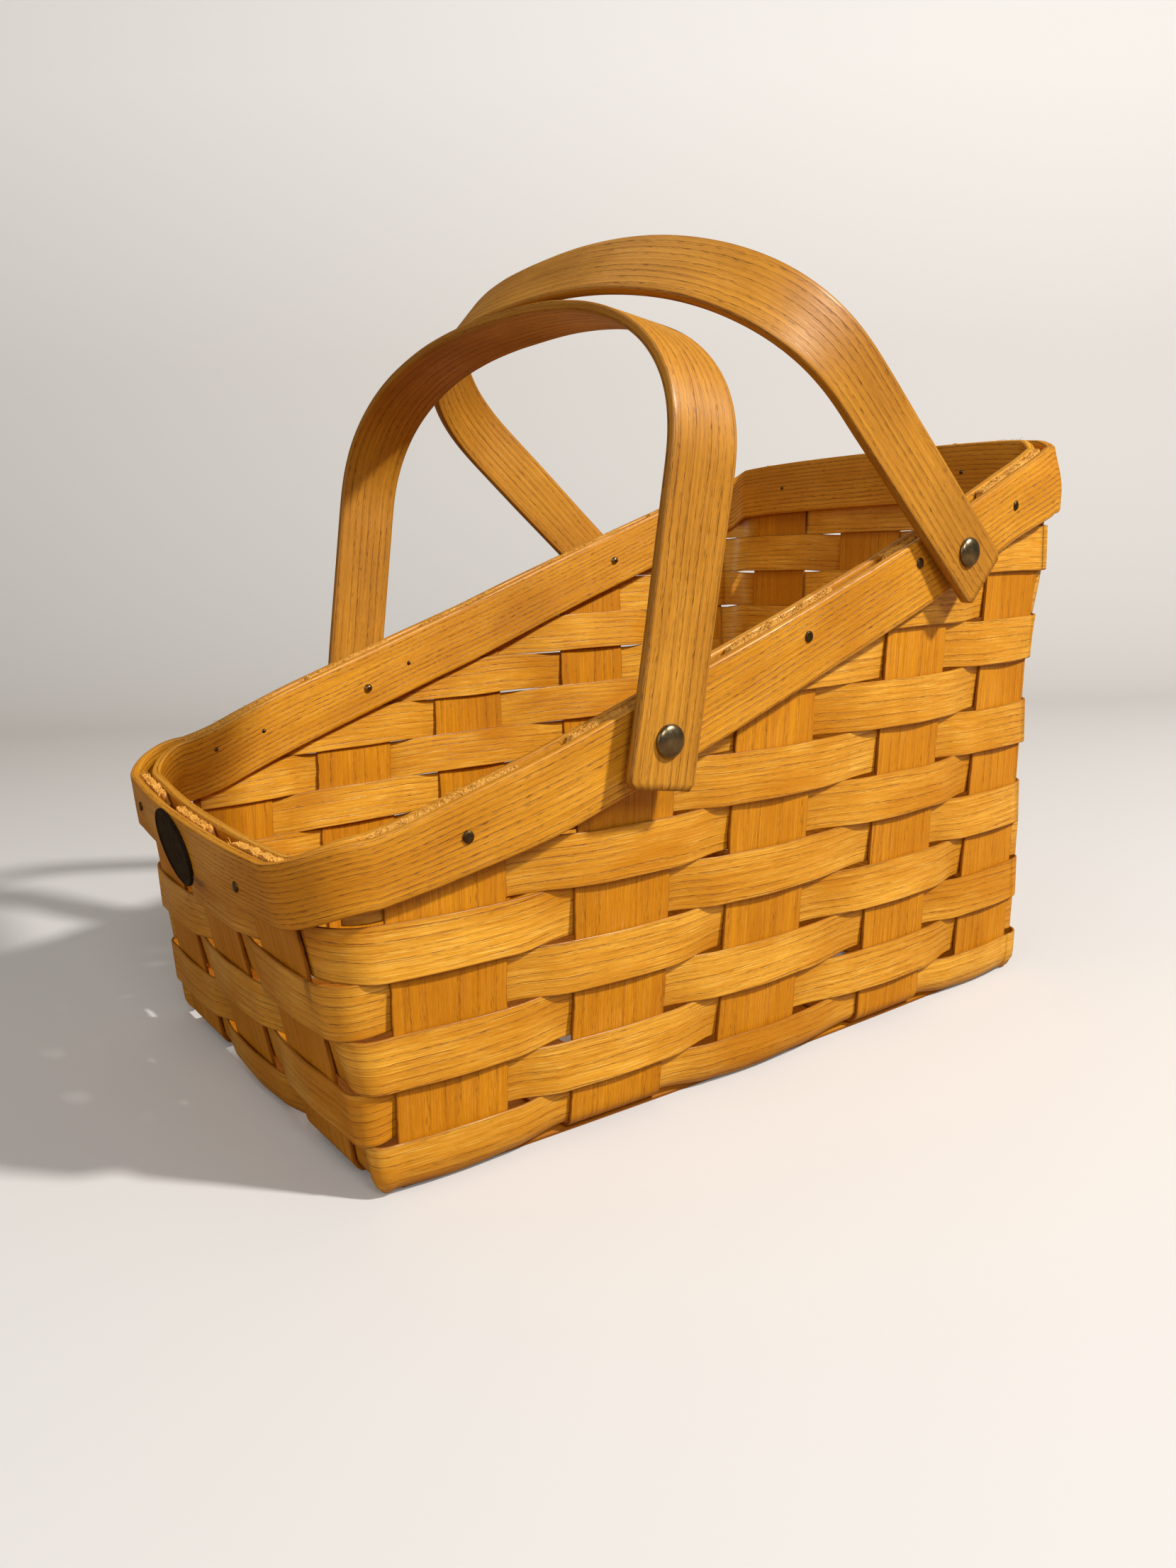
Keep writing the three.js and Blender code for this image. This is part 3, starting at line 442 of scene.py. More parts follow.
def wood(name, light, dark, line, lines, pitch, swirl, pores, pale_fleck_and_highlight, streaks, tone, scales,
         rough, coat, whole=0.0, wear_and_edge_shade=0.6):
    """Split ash: u runs along the grain and v across it, in metres. A thin growth line
    comes about every pitch millimetres, drawn off its level by the swirl. The other values
    say how strongly each mark shows; whole makes the growth lines break off less often."""
    g = Graph(name)
    uv = g.node("ShaderNodeUVMap", uv_map="grain").outputs[0]
    sep = g.node("ShaderNodeSeparateXYZ")
    g.link(uv, sep.inputs[0])
    u, v = sep.outputs[0], sep.outputs[1]

    def times(a, b):
        return g.math("MULTIPLY", a, b)

    def plus(a, b):
        return g.math("ADD", a, b)

    def field(a, b, c, detail, soft=0.5):
        return g.noise(g.vec(times(u, a), times(v, b), c), 1.0, detail, soft)

    drift = g.ramp(field(13.0, 30.0, 1.0, 2.0), [(0.37, 0.0), (0.63, 1.0)])
    patch = g.ramp(field(75.0, 75.0, 5.0, 3.0, 0.6), [(0.35, 0.0), (0.70, 1.0)])
    streak = g.ramp(field(14.0, 900.0, 0.0, 4.0, 0.6), [(0.28, 0.0), (0.72, 1.0)])
    hair = field(90.0, 3600.0, 7.0, 1.0)
    # growth lines: thin, a little jagged, with a soft shade on one side, broken here and there
    wave = times(field(7.0, 26.0, 4.0, 1.0), swirl)
    wave = plus(wave, times(field(42.0, 110.0, 9.0, 2.0), swirl * 0.1))
    wave = plus(wave, times(field(420.0, 500.0, 11.0, 1.0), 0.16))
    turns = g.math("FRACT", plus(times(v, 1000.0 / pitch), wave))
    thin = g.ramp(turns, [(0.0, 0.0), (0.86, 0.0), (0.925, 1.0), (0.955, 0.7), (1.0, 0.0)])
    shade = g.ramp(turns, [(0.0, 0.0), (0.35, 0.0), (0.90, 0.8), (0.96, 0.5), (1.0, 0.0)])
    gate = g.ramp(field(22.0, 260.0, 3.0, 3.0), [(0.38 - whole, 0.0), (0.62 - whole, 1.0)])
    broken = g.ramp(field(260.0, 900.0, 12.0, 1.0), [(0.30, 0.25), (0.55, 1.0)])
    ring = times(times(thin, gate), broken)
    # open pores: short dashes, most of them beside the growth lines
    dash = g.ramp(field(260.0, 4200.0, 2.0, 1.0), [(0.56, 0.0), (0.64, 1.0)])
    near = plus(times(times(shade, gate), 0.8), 0.16)
    pit = g.math("MULTIPLY", dash, near, clamp=True)
    edge = g.node("ShaderNodeAttribute", attribute_name="edge", attribute_type="GEOMETRY")
    body = g.mix(times(streak, streaks), light, dark)
    body = g.mix(times(drift, tone), body, dark)
    body = g.mix(times(patch, tone * 0.4), body, dark)
    body = g.mix(times(times(shade, gate), lines * 0.24), body, line)
    # pale flecks, fewer where the strip is dark: partly the wood's own pale flecks, partly a
    # painted satin highlight
    fleck_and_highlight_mask = g.ramp(field(60.0, 3000.0, 6.0, 2.0), [(0.52, 0.0), (0.68, 1.0)])
    fleck_and_highlight_mask = times(fleck_and_highlight_mask, g.math("SUBTRACT", 1.0, times(drift, 0.75)))
    body = g.mix(times(fleck_and_highlight_mask, pale_fleck_and_highlight), body, tuple(min(1, c * 1.12 + 0.09) for c in light))
    body = g.mix(times(ring, lines), body, line)
    body = g.mix(times(pit, pores), body, tuple(c * 0.6 for c in line))
    # partly painted shade: the strip's thin sides and the bands beside them turn towards the line
    # colour, both as the split wood's dark edge and as shade in the gaps between pieces
    body = g.mix(times(g.math("POWER", edge.outputs["Fac"], 2.0), wear_and_edge_shade), body, line)
    g.link(body, g.bsdf.inputs["Base Color"])
    gloss = plus(times(streak, 0.12), plus(times(drift, 0.10), rough - 0.11))
    g.link(plus(gloss, times(ring, 0.15)), g.bsdf.inputs["Roughness"])
    pale = g.math("SUBTRACT", 1.0, drift)
    g.link(times(plus(pale, 0.15), coat * 1.3), g.bsdf.inputs["Coat Weight"])
    g.plain(Coat_Roughness=0.27, Specular_IOR_Level=0.28)
    # relief: fine grain, pores, furrows at the growth lines, and the scaly ripple of a split face
    height = plus(times(streak, 0.22), times(hair, 0.22))
    height = g.math("SUBTRACT", height, times(pit, 0.5 * pores))
    height = g.math("SUBTRACT", height, times(ring, 0.9 * lines))
    height = plus(height, times(field(620.0, 900.0, 8.0, 2.0), scales))
    height = plus(height, times(field(140.0, 160.0, 13.0, 1.0), scales * 1.6))
    g.bump(height, 0.8, 0.00014)
    return g.mat


splint_wood = wood(
    "upright_wood", (0.76, 0.320, 0.006), (0.44, 0.140, 0.001), (0.14, 0.030, 0.001),
    lines=0.4, pitch=5.5, swirl=1.6, pores=0.9, pale_fleck_and_highlight=0.4, streaks=0.8, tone=0.45,
    scales=0.15, rough=0.44, coat=0.1)
weaver_wood = wood(
    "weaver_wood", (0.98, 0.50, 0.045), (0.54, 0.195, 0.004), (0.17, 0.040, 0.001),
    lines=0.85, pitch=2.7, swirl=3.6, pores=0.7, pale_fleck_and_highlight=0.75, streaks=0.8, tone=0.85,
    scales=0.6, rough=0.35, coat=0.4, whole=0.04)
rim_wood = wood(
    "rim_wood", (0.86, 0.410, 0.028), (0.48, 0.165, 0.003), (0.13, 0.030, 0.001),
    lines=0.95, pitch=2.1, swirl=3.2, pores=1.0, pale_fleck_and_highlight=0.35, streaks=0.7, tone=0.6,
    scales=0.5, rough=0.38, coat=0.18, whole=0.09, wear_and_edge_shade=0.12)
handle_wood = wood(
    "handle_wood", (0.72, 0.335, 0.033), (0.34, 0.128, 0.006), (0.09, 0.022, 0.001),
    lines=0.8, pitch=2.6, swirl=2.0, pores=1.0, pale_fleck_and_highlight=0.2, streaks=0.8, tone=0.55,
    scales=0.25, rough=0.44, coat=0.08, whole=0.05, wear_and_edge_shade=0.25)
end_wood = wood(
    "splint_end_wood", (0.84, 0.460, 0.090), (0.50, 0.210, 0.020), (0.12, 0.036, 0.004),
    lines=0.4, pitch=1.1, swirl=3.0, pores=0.7, pale_fleck_and_highlight=0.4, streaks=0.7, tone=0.4,
    scales=1.4, rough=0.7, coat=0.0)


def metal(name, base, tint, rough, spots):
    """Bright metal that has gone dull in spots."""
    g = Graph(name)
    pos = g.node("ShaderNodeTexCoord").outputs["Object"]
    a = g.noise(pos, 900.0, 4.0, 0.6)
    b = g.noise(pos, 260.0, 2.0, 0.5)
    wear_and_edge_shade = g.ramp(b, [(0.35, 0.0), (0.68, 1.0)])
    g.link(g.mix(g.math("MULTIPLY", wear_and_edge_shade, spots), base, tint), g.bsdf.inputs["Base Color"])
    g.link(g.math("ADD", g.math("MULTIPLY", a, 0.25), rough - 0.1), g.bsdf.inputs["Roughness"])
    g.plain(Metallic=1.0)
    g.bump(a, 0.25, 0.00005)
    return g.mat


rivet_metal = metal("rivet_metal", (0.27, 0.22, 0.14), (0.11, 0.075, 0.035), 0.24, 0.7)
nail_metal = metal("nail_metal", (0.13, 0.09, 0.04), (0.025, 0.016, 0.008), 0.36, 0.8)


def plate_material():
    """Dull blackened metal."""
    g = Graph("plate_dark")
    pos = g.node("ShaderNodeTexCoord").outputs["Object"]
    a = g.noise(pos, 420.0, 3.0, 0.55)
    b = g.noise(pos, 2400.0, 2.0, 0.5)
    wear_and_edge_shade = g.ramp(a, [(0.45, 0.0), (0.75, 1.0)])
    colour = g.mix(g.math("MULTIPLY", wear_and_edge_shade, 0.5), (0.012, 0.007, 0.004), (0.045, 0.026, 0.012))
    g.link(colour, g.bsdf.inputs["Base Color"])
    g.link(g.math("ADD", g.math("MULTIPLY", b, 0.2), 0.42), g.bsdf.inputs["Roughness"])
    g.plain(Specular_IOR_Level=0.06)
    g.bump(g.math("ADD", a, g.math("MULTIPLY", b, 0.3)), 0.6, 0.00025)
    return g.mat


# ---------------- splints
def top_of(st):
    return rim_top(st) - SPLINT_TOP


def edge_wave(seed, u, v, half, amount):
    """Sideways drift of a hand-split edge."""
    share = abs(v) / half
    drift = wob(u * 0.05, seed * 3.7, math.copysign(5, v)) + 0.4 * wob(u * 0.3, seed, v)
    return amount * share * share * math.copysign(1, v) * drift


def arm(steps):
    """The bend out of the base and then the wall, as (part, share or angle)."""
    part = [("bend", math.pi / 2 * k / 8) for k in range(8)]
    return part + [("wall", k / steps) for k in range(steps + 1)]


def upright_wall(st, t, h, seed, which):
    """The point at the share t of the wall, with the slight wave of a split face."""
    z = BEND_TOP + (top_of(st) - BEND_TOP) * t
    return wall(st, z, h + WALL_WAVE * wob(z * 0.05, seed, which) * min(1, t * 4))


def build_cross(i, middle):
    """A splint up the near side, under the base and up the far side."""
    path = [(kind, 1, t) for kind, t in arm(64)[::-1]]
    path += [("base", 1, k / 60) for k in range(1, 60)]
    path += [(kind, -1, t) for kind, t in arm(64)]
    seed = 11 + i

    def place(n, v, h):
        kind, sign, t = path[n]
        v = v + edge_wave(seed, n * 3.0, v, SPLINT_WIDTH / 2, SPLINT_WAVE)
        st = side(sign, middle + v, LEANS[i])
        if kind == "bend":
            return bend(st, t, h)
        if kind == "wall":
            return upright_wall(st, t, h, seed, sign)
        a = bend(st, 0.0, h)
        b = bend(side(-sign, middle + v, LEANS[i]), 0.0, h)
        return a.lerp(b, t)

    sweep(f"upright_cross_{i + 1}", path, place, SPLINT_WIDTH / 2, SPLINT_THICKNESS, SPLINT_EDGE, 8,
          False, splint_wood, f"cross_splint_{i + 1}", "basket", seed)


def build_long(i, middle):
    """A splint up the front, over and under the cross splints of the base, and up the back."""
    over = 1 if i % 2 == 0 else -1
    seed = 31 + i
    path = [(kind, -1, t) for kind, t in arm(50)[::-1]]
    reach = SPLINT_WIDTH / 2 + MARGIN
    for k, at in enumerate(CROSS):
        s = over if k % 2 == 0 else -over
        centre = at + LEANS[k] * BASE_MIDDLE
        if k == len(CROSS) - 1:
            path += [("floor", centre - reach + reach * step / 4, s) for step in range(5)]
            break
        low = centre - reach if k > 0 else centre
        path += [("floor", low + (centre + reach - low) * step / 8, s) for step in range(9)]
        gap = CROSS[k + 1] + LEANS[k + 1] * BASE_MIDDLE - reach - centre - reach
        for step in range(1, 8):
            share = step / 8
            path.append(("floor", centre + reach + gap * share, s * math.cos(math.pi * share)))
    path += [(kind, 1, t) for kind, t in arm(50)]

    def place(n, v, h):
        kind, a, b = path[n]
        v = v + edge_wave(seed, n * 3.0, v, SPLINT_WIDTH / 2, SPLINT_WAVE)
        if kind == "floor":
            return Vector((middle + v, a, BASE_MIDDLE + b * BASE_STEP - h))
        st = head(a, middle + v)
        if kind == "bend":
            return bend(st, b, h, over * BASE_STEP * max(0.0, 1 - b / (math.pi / 6)))
        return upright_wall(st, b, h, seed, a)

    sweep(f"upright_long_{i + 1}", path, place, SPLINT_WIDTH / 2, SPLINT_THICKNESS, SPLINT_EDGE, 8,
          False, splint_wood, f"long_splint_{i + 1}", "basket", seed)


def build_edge(sign, which):
    """A thin filler along one long edge of the base."""
    inner = LONG[-1] + SPLINT_WIDTH / 2 + 2
    ys = [EDGE_START + EDGE_LENGTH * k / EDGE_STEPS for k in range(EDGE_STEPS + 1)]

    def place(n, v, h):
        share = (v / EDGE_HALF + 1) / 2
        x = inner + (side_x(ys[n], 0) - EDGE_INSET - inner) * share
        return Vector((sign * x, ys[n], BASE_MIDDLE - BASE_STEP - h))

    sweep(f"edge_strip_{which}", ys, place, EDGE_HALF, SPLINT_THICKNESS, SPLINT_EDGE, 4, False,
          splint_wood, f"edge_splint_{which}", "basket", 45 + sign)


build_edge(1, "near")
build_edge(-1, "far")
for i, middle in enumerate(CROSS):
    build_cross(i, middle)
for i, middle in enumerate(LONG):
    build_long(i, middle)

# ---------------- weavers
# every upright in the order in which a weaver meets it; run is the way it goes past
uprights = [dict(side(1, a, n), run=1) for a, n in zip(CROSS, LEANS)]
uprights += [dict(head(1, a), run=-1) for a in LONG[::-1]]
uprights += [dict(side(-1, a, n), run=-1) for a, n in zip(CROSS[::-1], LEANS[::-1])]
uprights += [dict(head(-1, a), run=1) for a in LONG]


def station_of(up, at, lean=None):
    if up["face"] == "end":
        return head(up["end"], at)
    return side(up["sign"], at, up["lean"] if lean is None else lean)


def row_stations(row):
    """(station, side, bulge, crown) round the basket; side is 1 outside, -1 inside."""
    out = []
    reach = SPLINT_WIDTH / 2 + MARGIN
    for i, here in enumerate(uprights):
        nxt = uprights[(i + 1) % len(uprights)]
        s = 1 if (row + i) % 2 == 0 else -1
        leave, enter = here["at"] + here["run"] * reach, nxt["at"] - nxt["run"] * reach
        first = here["at"] - here["run"] * reach
        for k in range(13):
            t = k / 12
            crown = math.sin(math.pi * t) ** 1.2
            out.append((station_of(here, first + (leave - first) * t), s, 0.0, crown))
        if all(here.get(key) == nxt.get(key) for key in ("face", "sign", "end")):
            for k in range(1, 9):
                t = k / 9
                on_side = here["face"] == "side"
                lean = here["lean"] + (nxt["lean"] - here["lean"]) * t if on_side else 0
                st = station_of(here, leave + (enter - leave) * t, lean)
                out.append((st, s * math.cos(math.pi * t), 0.0, 0.0))
        else:
            sign = here["sign"] if here["face"] == "side" else nxt["sign"]
            end = here["end"] if here["face"] == "end" else nxt["end"]
            limits = [station_of(here, leave), station_of(nxt, enter)]
            if here["face"] == "end":
                limits.reverse()
            for k in range(17):
                t = (k + 1) / 18
                turn = k / 16 if here["face"] == "side" else 1 - k / 16
                st = corner(sign, end, turn, *limits)
                out.append((st, s * math.cos(math.pi * t), math.sin(math.pi * t) ** 2, 0.0))
    return out


def row_level(row):
    return FIRST_ROW_TOP + ROW_PITCH * (row - 1) + ROW_SPREAD * (row - 1) ** 2


def from_start(row, top):
    """A closed row starts behind an upright; an open one runs only where the rim leaves it room."""
    stations = row_stations(row)
    if row < CLOSED_ROWS:
        hidden = uprights[1 if row % 2 == 0 else 2]
        start = next(n for n, (st, s, *_) in enumerate(stations) if st["face"] == "side"
                     and st["sign"] == 1 and s < 0 and abs(st["at"] - hidden["at"]) < 1.5)
        return stations[start:] + stations[:start]
    first = CROSS[0] - SPLINT_WIDTH / 2
    start = max((top + ROW_TUCK - RIM_LINE) / RIM_SLOPE, first + ROW_TUCK)
    used = [q for q in stations if not (q[0]["face"] != "side" and q[0]["end"] < 0)]
    stations = [q for q in used if plan(q[0], top)[1] > start]
    if row == CLOSED_ROWS:
        # its near end stands past the first upright
        run_on = [first - RUN_ON * k for k in range(8, 0, -1)]
        stations[:0] = [(side(1, at, LEANS[0]), stations[0][1], 0.0, 0.0) for at in run_on]
    return stations


def build_row(row):
    low, top = row_level(row), row_level(row + 1) - ROW_GAP
    bulge = CORNER_BULGE if row < CLOSED_ROWS - 1 else 0
    seed = 51 + row * 1.7
    stations = from_start(row, top)
    mid, half = (low + top) / 2, (top - low) / 2 + ROW_SPARE
    # 1 where the row stands well below the rim, 0 where the rim clamps it
    free = []
    for st, *_ in stations:
        edge = rim_top(st) - rim_drop(st, top)
        free.append(min(1.0, max(0.0, (edge - top - FREE_FROM) / FREE_OVER)))

    def place(n, v, h):
        st, s, b, crown = stations[n]
        z = mid + v + ROW_WAVE * wob(n * 4.0 * 0.03, seed, 1.0 if v > 0 else -1.0) * abs(v) / half
        z -= ROW_DIP * s * free[n]
        swell = BASE_CORNER_SWELL * tall_corner(st) if row == 0 else 0.0
        arch = crown * (ROW_CROWN[0] + ROW_CROWN[1] * free[n]) * (1 if s > 0 else -1)
        off = s * WEAVE + b * (bulge + swell) + arch
        # an upper row leans a little, so that its lower edge stands out where it passes outside
        off += (ROW_LEAN[0] + ROW_LEAN[1] * free[n]) * s * (-v / half) * (1 if row else 0)
        if z >= BEND_TOP or row:
            return wall(st, z, off + h)
        angle = max(math.pi / 6, math.pi / 2 - (BEND_TOP - z) / (BASE_BEND + WEAVE))
        return bend(st, angle, off + h)

    if row == 0:
        # the lowest row follows the bend down towards the base
        low = BEND_TOP - (BASE_BEND + WEAVE) * math.pi / 3
        mid, half = (low + top) / 2, (top - low) / 2 + LOW_ROW_SPARE
    sweep(f"weaver_{row + 1}", stations, place, half, WEAVER_THICKNESS, WEAVER_EDGE, 6,
          row < CLOSED_ROWS, weaver_wood, f"weaver_row_{row + 1}", "basket", seed,
          u0=row * 3.3)


for row in range(ALL_ROWS):
    build_row(row)


# ---------------- rim bands
def rim_stations():
    """Stations all round the rim, each face even in itself."""
    out = []
    for sign in (1, -1):
        high, low = corner(sign, 1, 0), corner(sign, -1, 0)
        y_high, y_low = plan(high, rim_top(high))[1], plan(low, rim_top(low))[1]
        a, b = (y_low, y_high) if sign > 0 else (y_high, y_low)
        out += [side(sign, a + (b - a) * k / 90) for k in range(1, 90)]
        out += [corner(sign, sign, k / 20) for k in range(21)]
        last = corner(1, sign, 1)
        reach = plan(last, rim_top(last))[0]
        out += [head(sign, sign * reach * (1 - 2 * k / 50)) for k in range(1, 50)]
        out += [corner(-sign, sign, 1 - k / 20) for k in range(21)]
    return out


def build_rim(name, node, middle, seed):
    """A band whose grain starts at the back (outer) or on the near side (inner)."""
    stations = rim_stations()
    face, key, at, close = ("end", "end", 0, 3) if middle > 0 else ("side", "sign", 20, 4)
    start = next(n for n, q in enumerate(stations)
                 if q["face"] == face and q[key] > 0 and abs(q["at"] - at) < close)
    stations = stations[start:] + stations[:start]
    info = []
    for st in stations:
        top = rim_top(st)
        info.append((top, rim_drop(st, top)))

    def place(n, v, h):
        st = stations[n]
        top, drop = info[n]
        z = top - drop / 2 + v * drop / RIM_HEIGHT
        z += RIM_WAVE * wob(n * 0.06, seed, math.copysign(2, v)) * abs(v) / (RIM_HEIGHT / 2)
        return wall(st, z, middle + h + BAND_WAVE * wob(n * 0.05, seed, v * 0.1))

    sweep(name, stations, place, RIM_HEIGHT / 2, RIM_THICKNESS - 0.1, RIM_EDGE, 10, True,
          rim_wood, node, "basket", seed)


build_rim("rim_band_outer", "rim_outer", (RIM_IN + RIM_OUT) / 2, 3)
build_rim("rim_band_inner", "rim_inner", -(RIM_IN + RIM_OUT) / 2, 5)


# ---------------- handles
def handle_path(foot, rise):
    """Even points along a bail: a straight arm, the domed bow, and the other arm."""
    crown = foot + HANDLE_SPREAD
    ups = [-HANDLE_END + (HANDLE_ARM + HANDLE_END) * k / 40 for k in range(40)]
    straight = [Vector((foot + HANDLE_SPREAD * w / HANDLE_ARM, w)) for w in ups]
    pts = list(straight)
    steps = 120
    for k in range(steps + 1):
        a = math.pi * k / steps
        c, s = math.cos(a), math.sin(a)
        x = crown * math.copysign(1, c) * abs(c) ** (2 / HANDLE_DOME)
        w = HANDLE_ARM + (rise - HANDLE_ARM) * abs(s) ** (2 / HANDLE_DOME)
        pts.append(Vector((x, w)))
    pts += [Vector((-p.x, p.y)) for p in straight[::-1]]
    even, left = [pts[0]], 0.0
    for a, b in zip(pts, pts[1:]):
        d = (b - a).length
        while left + d >= HANDLE_STEP:
            t = (HANDLE_STEP - left) / d
            a = a.lerp(b, t)
            d = (b - a).length
            left = 0.0
            even.append(a)
        left += d
    if (even[-1] - pts[-1]).length < 1:
        even.pop()
    even.append(pts[-1])
    return even


PIN = {j["child"]: Vector(j["pos_m"]) * 1000 for j in frame["joints"]}


def build_handle(name, node, body, tilt, rise, seed):
    """A bent strip with rounded ends, tilted about its rivets as at rest."""
    pin = PIN[body]
    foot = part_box(node)[1].x * 1000 - HANDLE_THICKNESS / 2 - HANDLE_SPREAD
    path = handle_path(foot, rise)
    n = len(path)
    turn = Euler((math.radians(tilt), 0, 0)).to_matrix()
    outs = []
    for i, p in enumerate(path):
        along = (path[min(n - 1, i + 1)] - path[max(0, i - 1)]).normalized()
        outs.append(Vector((along.y, -along.x)))
    dist = [0.0]
    for a, b in zip(path, path[1:]):
        dist.append(dist[-1] + (b - a).length)
    total = dist[-1]

    def half(i):
        d, r = min(dist[i], total - dist[i]), HANDLE_ROUND
        cut = r - math.sqrt(max(0.0, r * r - (r - min(d, r)) ** 2))
        return HANDLE_WIDTH / 2 - cut * 0.8 + 0.12 * wob(dist[i] * 0.03, seed)

    def place(i, v, h):
        p, o = path[i], outs[i]
        h = h * (1 - 0.05 * abs(wob(dist[i] * 0.04, seed, 4)))
        local = Vector((p.x + o.x * h, v, p.y + o.y * h))
        return turn @ local + Vector((0, pin.y, pin.z))

    sweep(name, path, place, half, HANDLE_THICKNESS, HANDLE_EDGE, 8, False,
          handle_wood, node, body, seed)


build_handle("bail_front", "handle_front", "front_handle", -9.6, 146.6, 71)
build_handle("bail_rear", "handle_rear", "rear_handle", 47.1, 156.0, 75)


# ---------------- fasteners and plate
def rings(count, sides):
    """Faces between count rings of points, and a cap at the last ring."""
    faces = []
    for i in range(count - 1):
        for k in range(sides):
            j, a, b = (k + 1) % sides, i * sides, (i + 1) * sides
            faces.append((a + k, a + j, b + j, b + k))
    return faces, tuple((count - 1) * sides + k for k in range(sides))


def turned(name, verts, faces, edge, mat, node):
    """A fastener or plate of the basket, mapped by its place."""
    uvs = [tuple((verts[q].x * 0.001, verts[q].z * 0.001) for q in f) for f in faces]
    fix_normals(make(name, verts, faces, uvs, edge, mat, node, "basket"))


def lathe(name, profile, sides, centre, axis, mat, node, squeeze=1.0):
    """A round body from (radius, place along the axis) pairs."""
    verts = []
    turn = Vector((0, 0, 1)).rotation_difference(axis).to_matrix()
    for r, d in profile:
        for k in range(sides):
            a = 2 * math.pi * k / sides
            verts.append(centre + turn @ Vector((r * math.cos(a), r * math.sin(a) * squeeze, d)))
    faces, cap = rings(len(profile), sides)
    faces += [tuple(range(sides))[::-1], cap]
    turned(name, verts, faces, [0.0] * len(verts), mat, node)


def dome(r, rise, steps=10):
    """Half section of a domed head from its rim to its crown."""
    pts = [(r, 0.0), (r, rise * 0.12)]
    for k in range(1, steps + 1):
        a = math.pi / 2 * k / steps
        pts.append((r * math.cos(a) if k < steps else TIP, rise * (0.12 + 0.88 * math.sin(a))))
    return pts


for where, pin in (("front", PIN["front_handle"]), ("rear", PIN["rear_handle"])):
    for which, s in (("near", 1), ("far", -1)):
        node = f"rivet_{where}_{which}"
        lo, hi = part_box(node)
        inner = (lo.x if s > 0 else -hi.x) * 1000
        outer = (hi.x if s > 0 else -lo.x) * 1000 - RIVET_RISE
        # the clenched tip, the pin, and the domed head
        tip = [(TIP, 0), (0.8, 0.05), (1.25, 0.25), (1.4, 0.6), (1.4, 0.8), (RIVET_PIN, 1.2)]
        prof = [(r, inner + d) for r, d in tip] + [(RIVET_PIN, outer)]
        prof += [(r, outer + d) for r, d in dome(RIVET_HEAD, RIVET_RISE)]
        lathe(f"rivet_head_{where}_{which}", prof, 40, Vector((0, pin.y, pin.z)),
              Vector((s, 0, 0)), rivet_metal, node)


def nail(name, node, st, lift, k):
    """A tack through both bands, with a low round head a little off true."""
    z = rim_middle(st) + lift
    nx, ny = plan(st, z)[2:]
    centre = wall(st, z, 0)
    if st["face"] == "end":
        nx -= skew(centre.y, z)
    seat = RIM_OUT + 0.05
    prof = [(TIP, -RIM_OUT - 0.7), (0.9, -RIM_OUT - 0.3), (0.9, seat - 0.2), (1.95, seat),
            (2.0, seat + 0.25), (1.7, seat + 0.5), (0.9, seat + 0.62), (TIP, seat + 0.64)]
    axis = Vector((nx, ny, 0.05 * wob(k * 3.0))).normalized()
    lathe(name, prof, 20, centre, axis, nail_metal, node, squeeze=0.92)


# (station, height off the band's middle) of each nail, and the number of the face's first one
NAILS = {
    "near": (0, [(side(1, -122.7), 0), (side(1, 7), 4), (side(1, 66), 5), (side(1, 133), 1)]),
    "far": (5, [(side(-1, -139), 5), (side(-1, -114), 2), (side(-1, -36), 0), (side(-1, 133), 0)]),
    "front": (9, [(head(-1, -64), 1), (head(-1, 54), -2)]),
    "back": (11, [(head(1, -57), 0), (head(1, 57), 0)]),
}
for where, (count, places) in NAILS.items():
    for k, (st, lift) in enumerate(places):
        nail(f"tack_{where}_{k + 1}", f"nail_{where}_{k + 1}", st, lift, k + count)


def build_plate():
    """Bare dark oval with a raised border, set on the front band."""
    st = head(-1, PLATE_AT)
    z = rim_middle(st) - PLATE_DROP
    centre = wall(st, z, RIM_OUT + 0.1)
    slope = 2 * FRONT_BOW_RISE * z * PLATE_AT - skew(centre.y, z)
    lean = Matrix.Rotation(math.atan(slope), 3, "Z") @ Matrix.Rotation(math.atan(FLARE[-1]), 3, "X")
    lean = lean @ Matrix.Rotation(math.radians(PLATE_TURN), 3, "Y")
    verts, sides = [], 144
    # (share of the oval, height): the border, then the level face
    steps = [(1.0, 0.0), (1.0, 0.65), (0.985, 0.95), (0.955, 1.12), (0.92, 1.05), (0.89, 0.72)]
    steps += [(0.86, 0.6)] + [(0.84 - 0.03 * k, 0.6) for k in range(28)]
    for share, d in steps:
        for k in range(sides):
            a = 2 * math.pi * k / sides
            x, y = PLATE_HALF[0] * share * math.cos(a), PLATE_HALF[1] * share * math.sin(a)
            ripple = 0.0
            if share < 0.86:
                # hammered face inside a beaded line
                ripple = 0.22 * max(0.0, wob(x * 0.33, y * 0.33, 2.0))
                ripple += 0.10 * wob(x * 1.1, y * 1.1, 5.0)
                bead = math.exp(-((share - 0.74) / 0.03) ** 2)
                ripple += 0.16 * bead * (0.6 + 0.4 * math.cos(a * 36))
            verts.append(centre + lean @ Vector((x, -(d + ripple), y)))
    faces, cap = rings(len(steps), sides)
    faces += [tuple(range(sides)), cap]
    turned("oval_plate", verts, faces, None, plate_material(), "badge_plate")


build_plate()


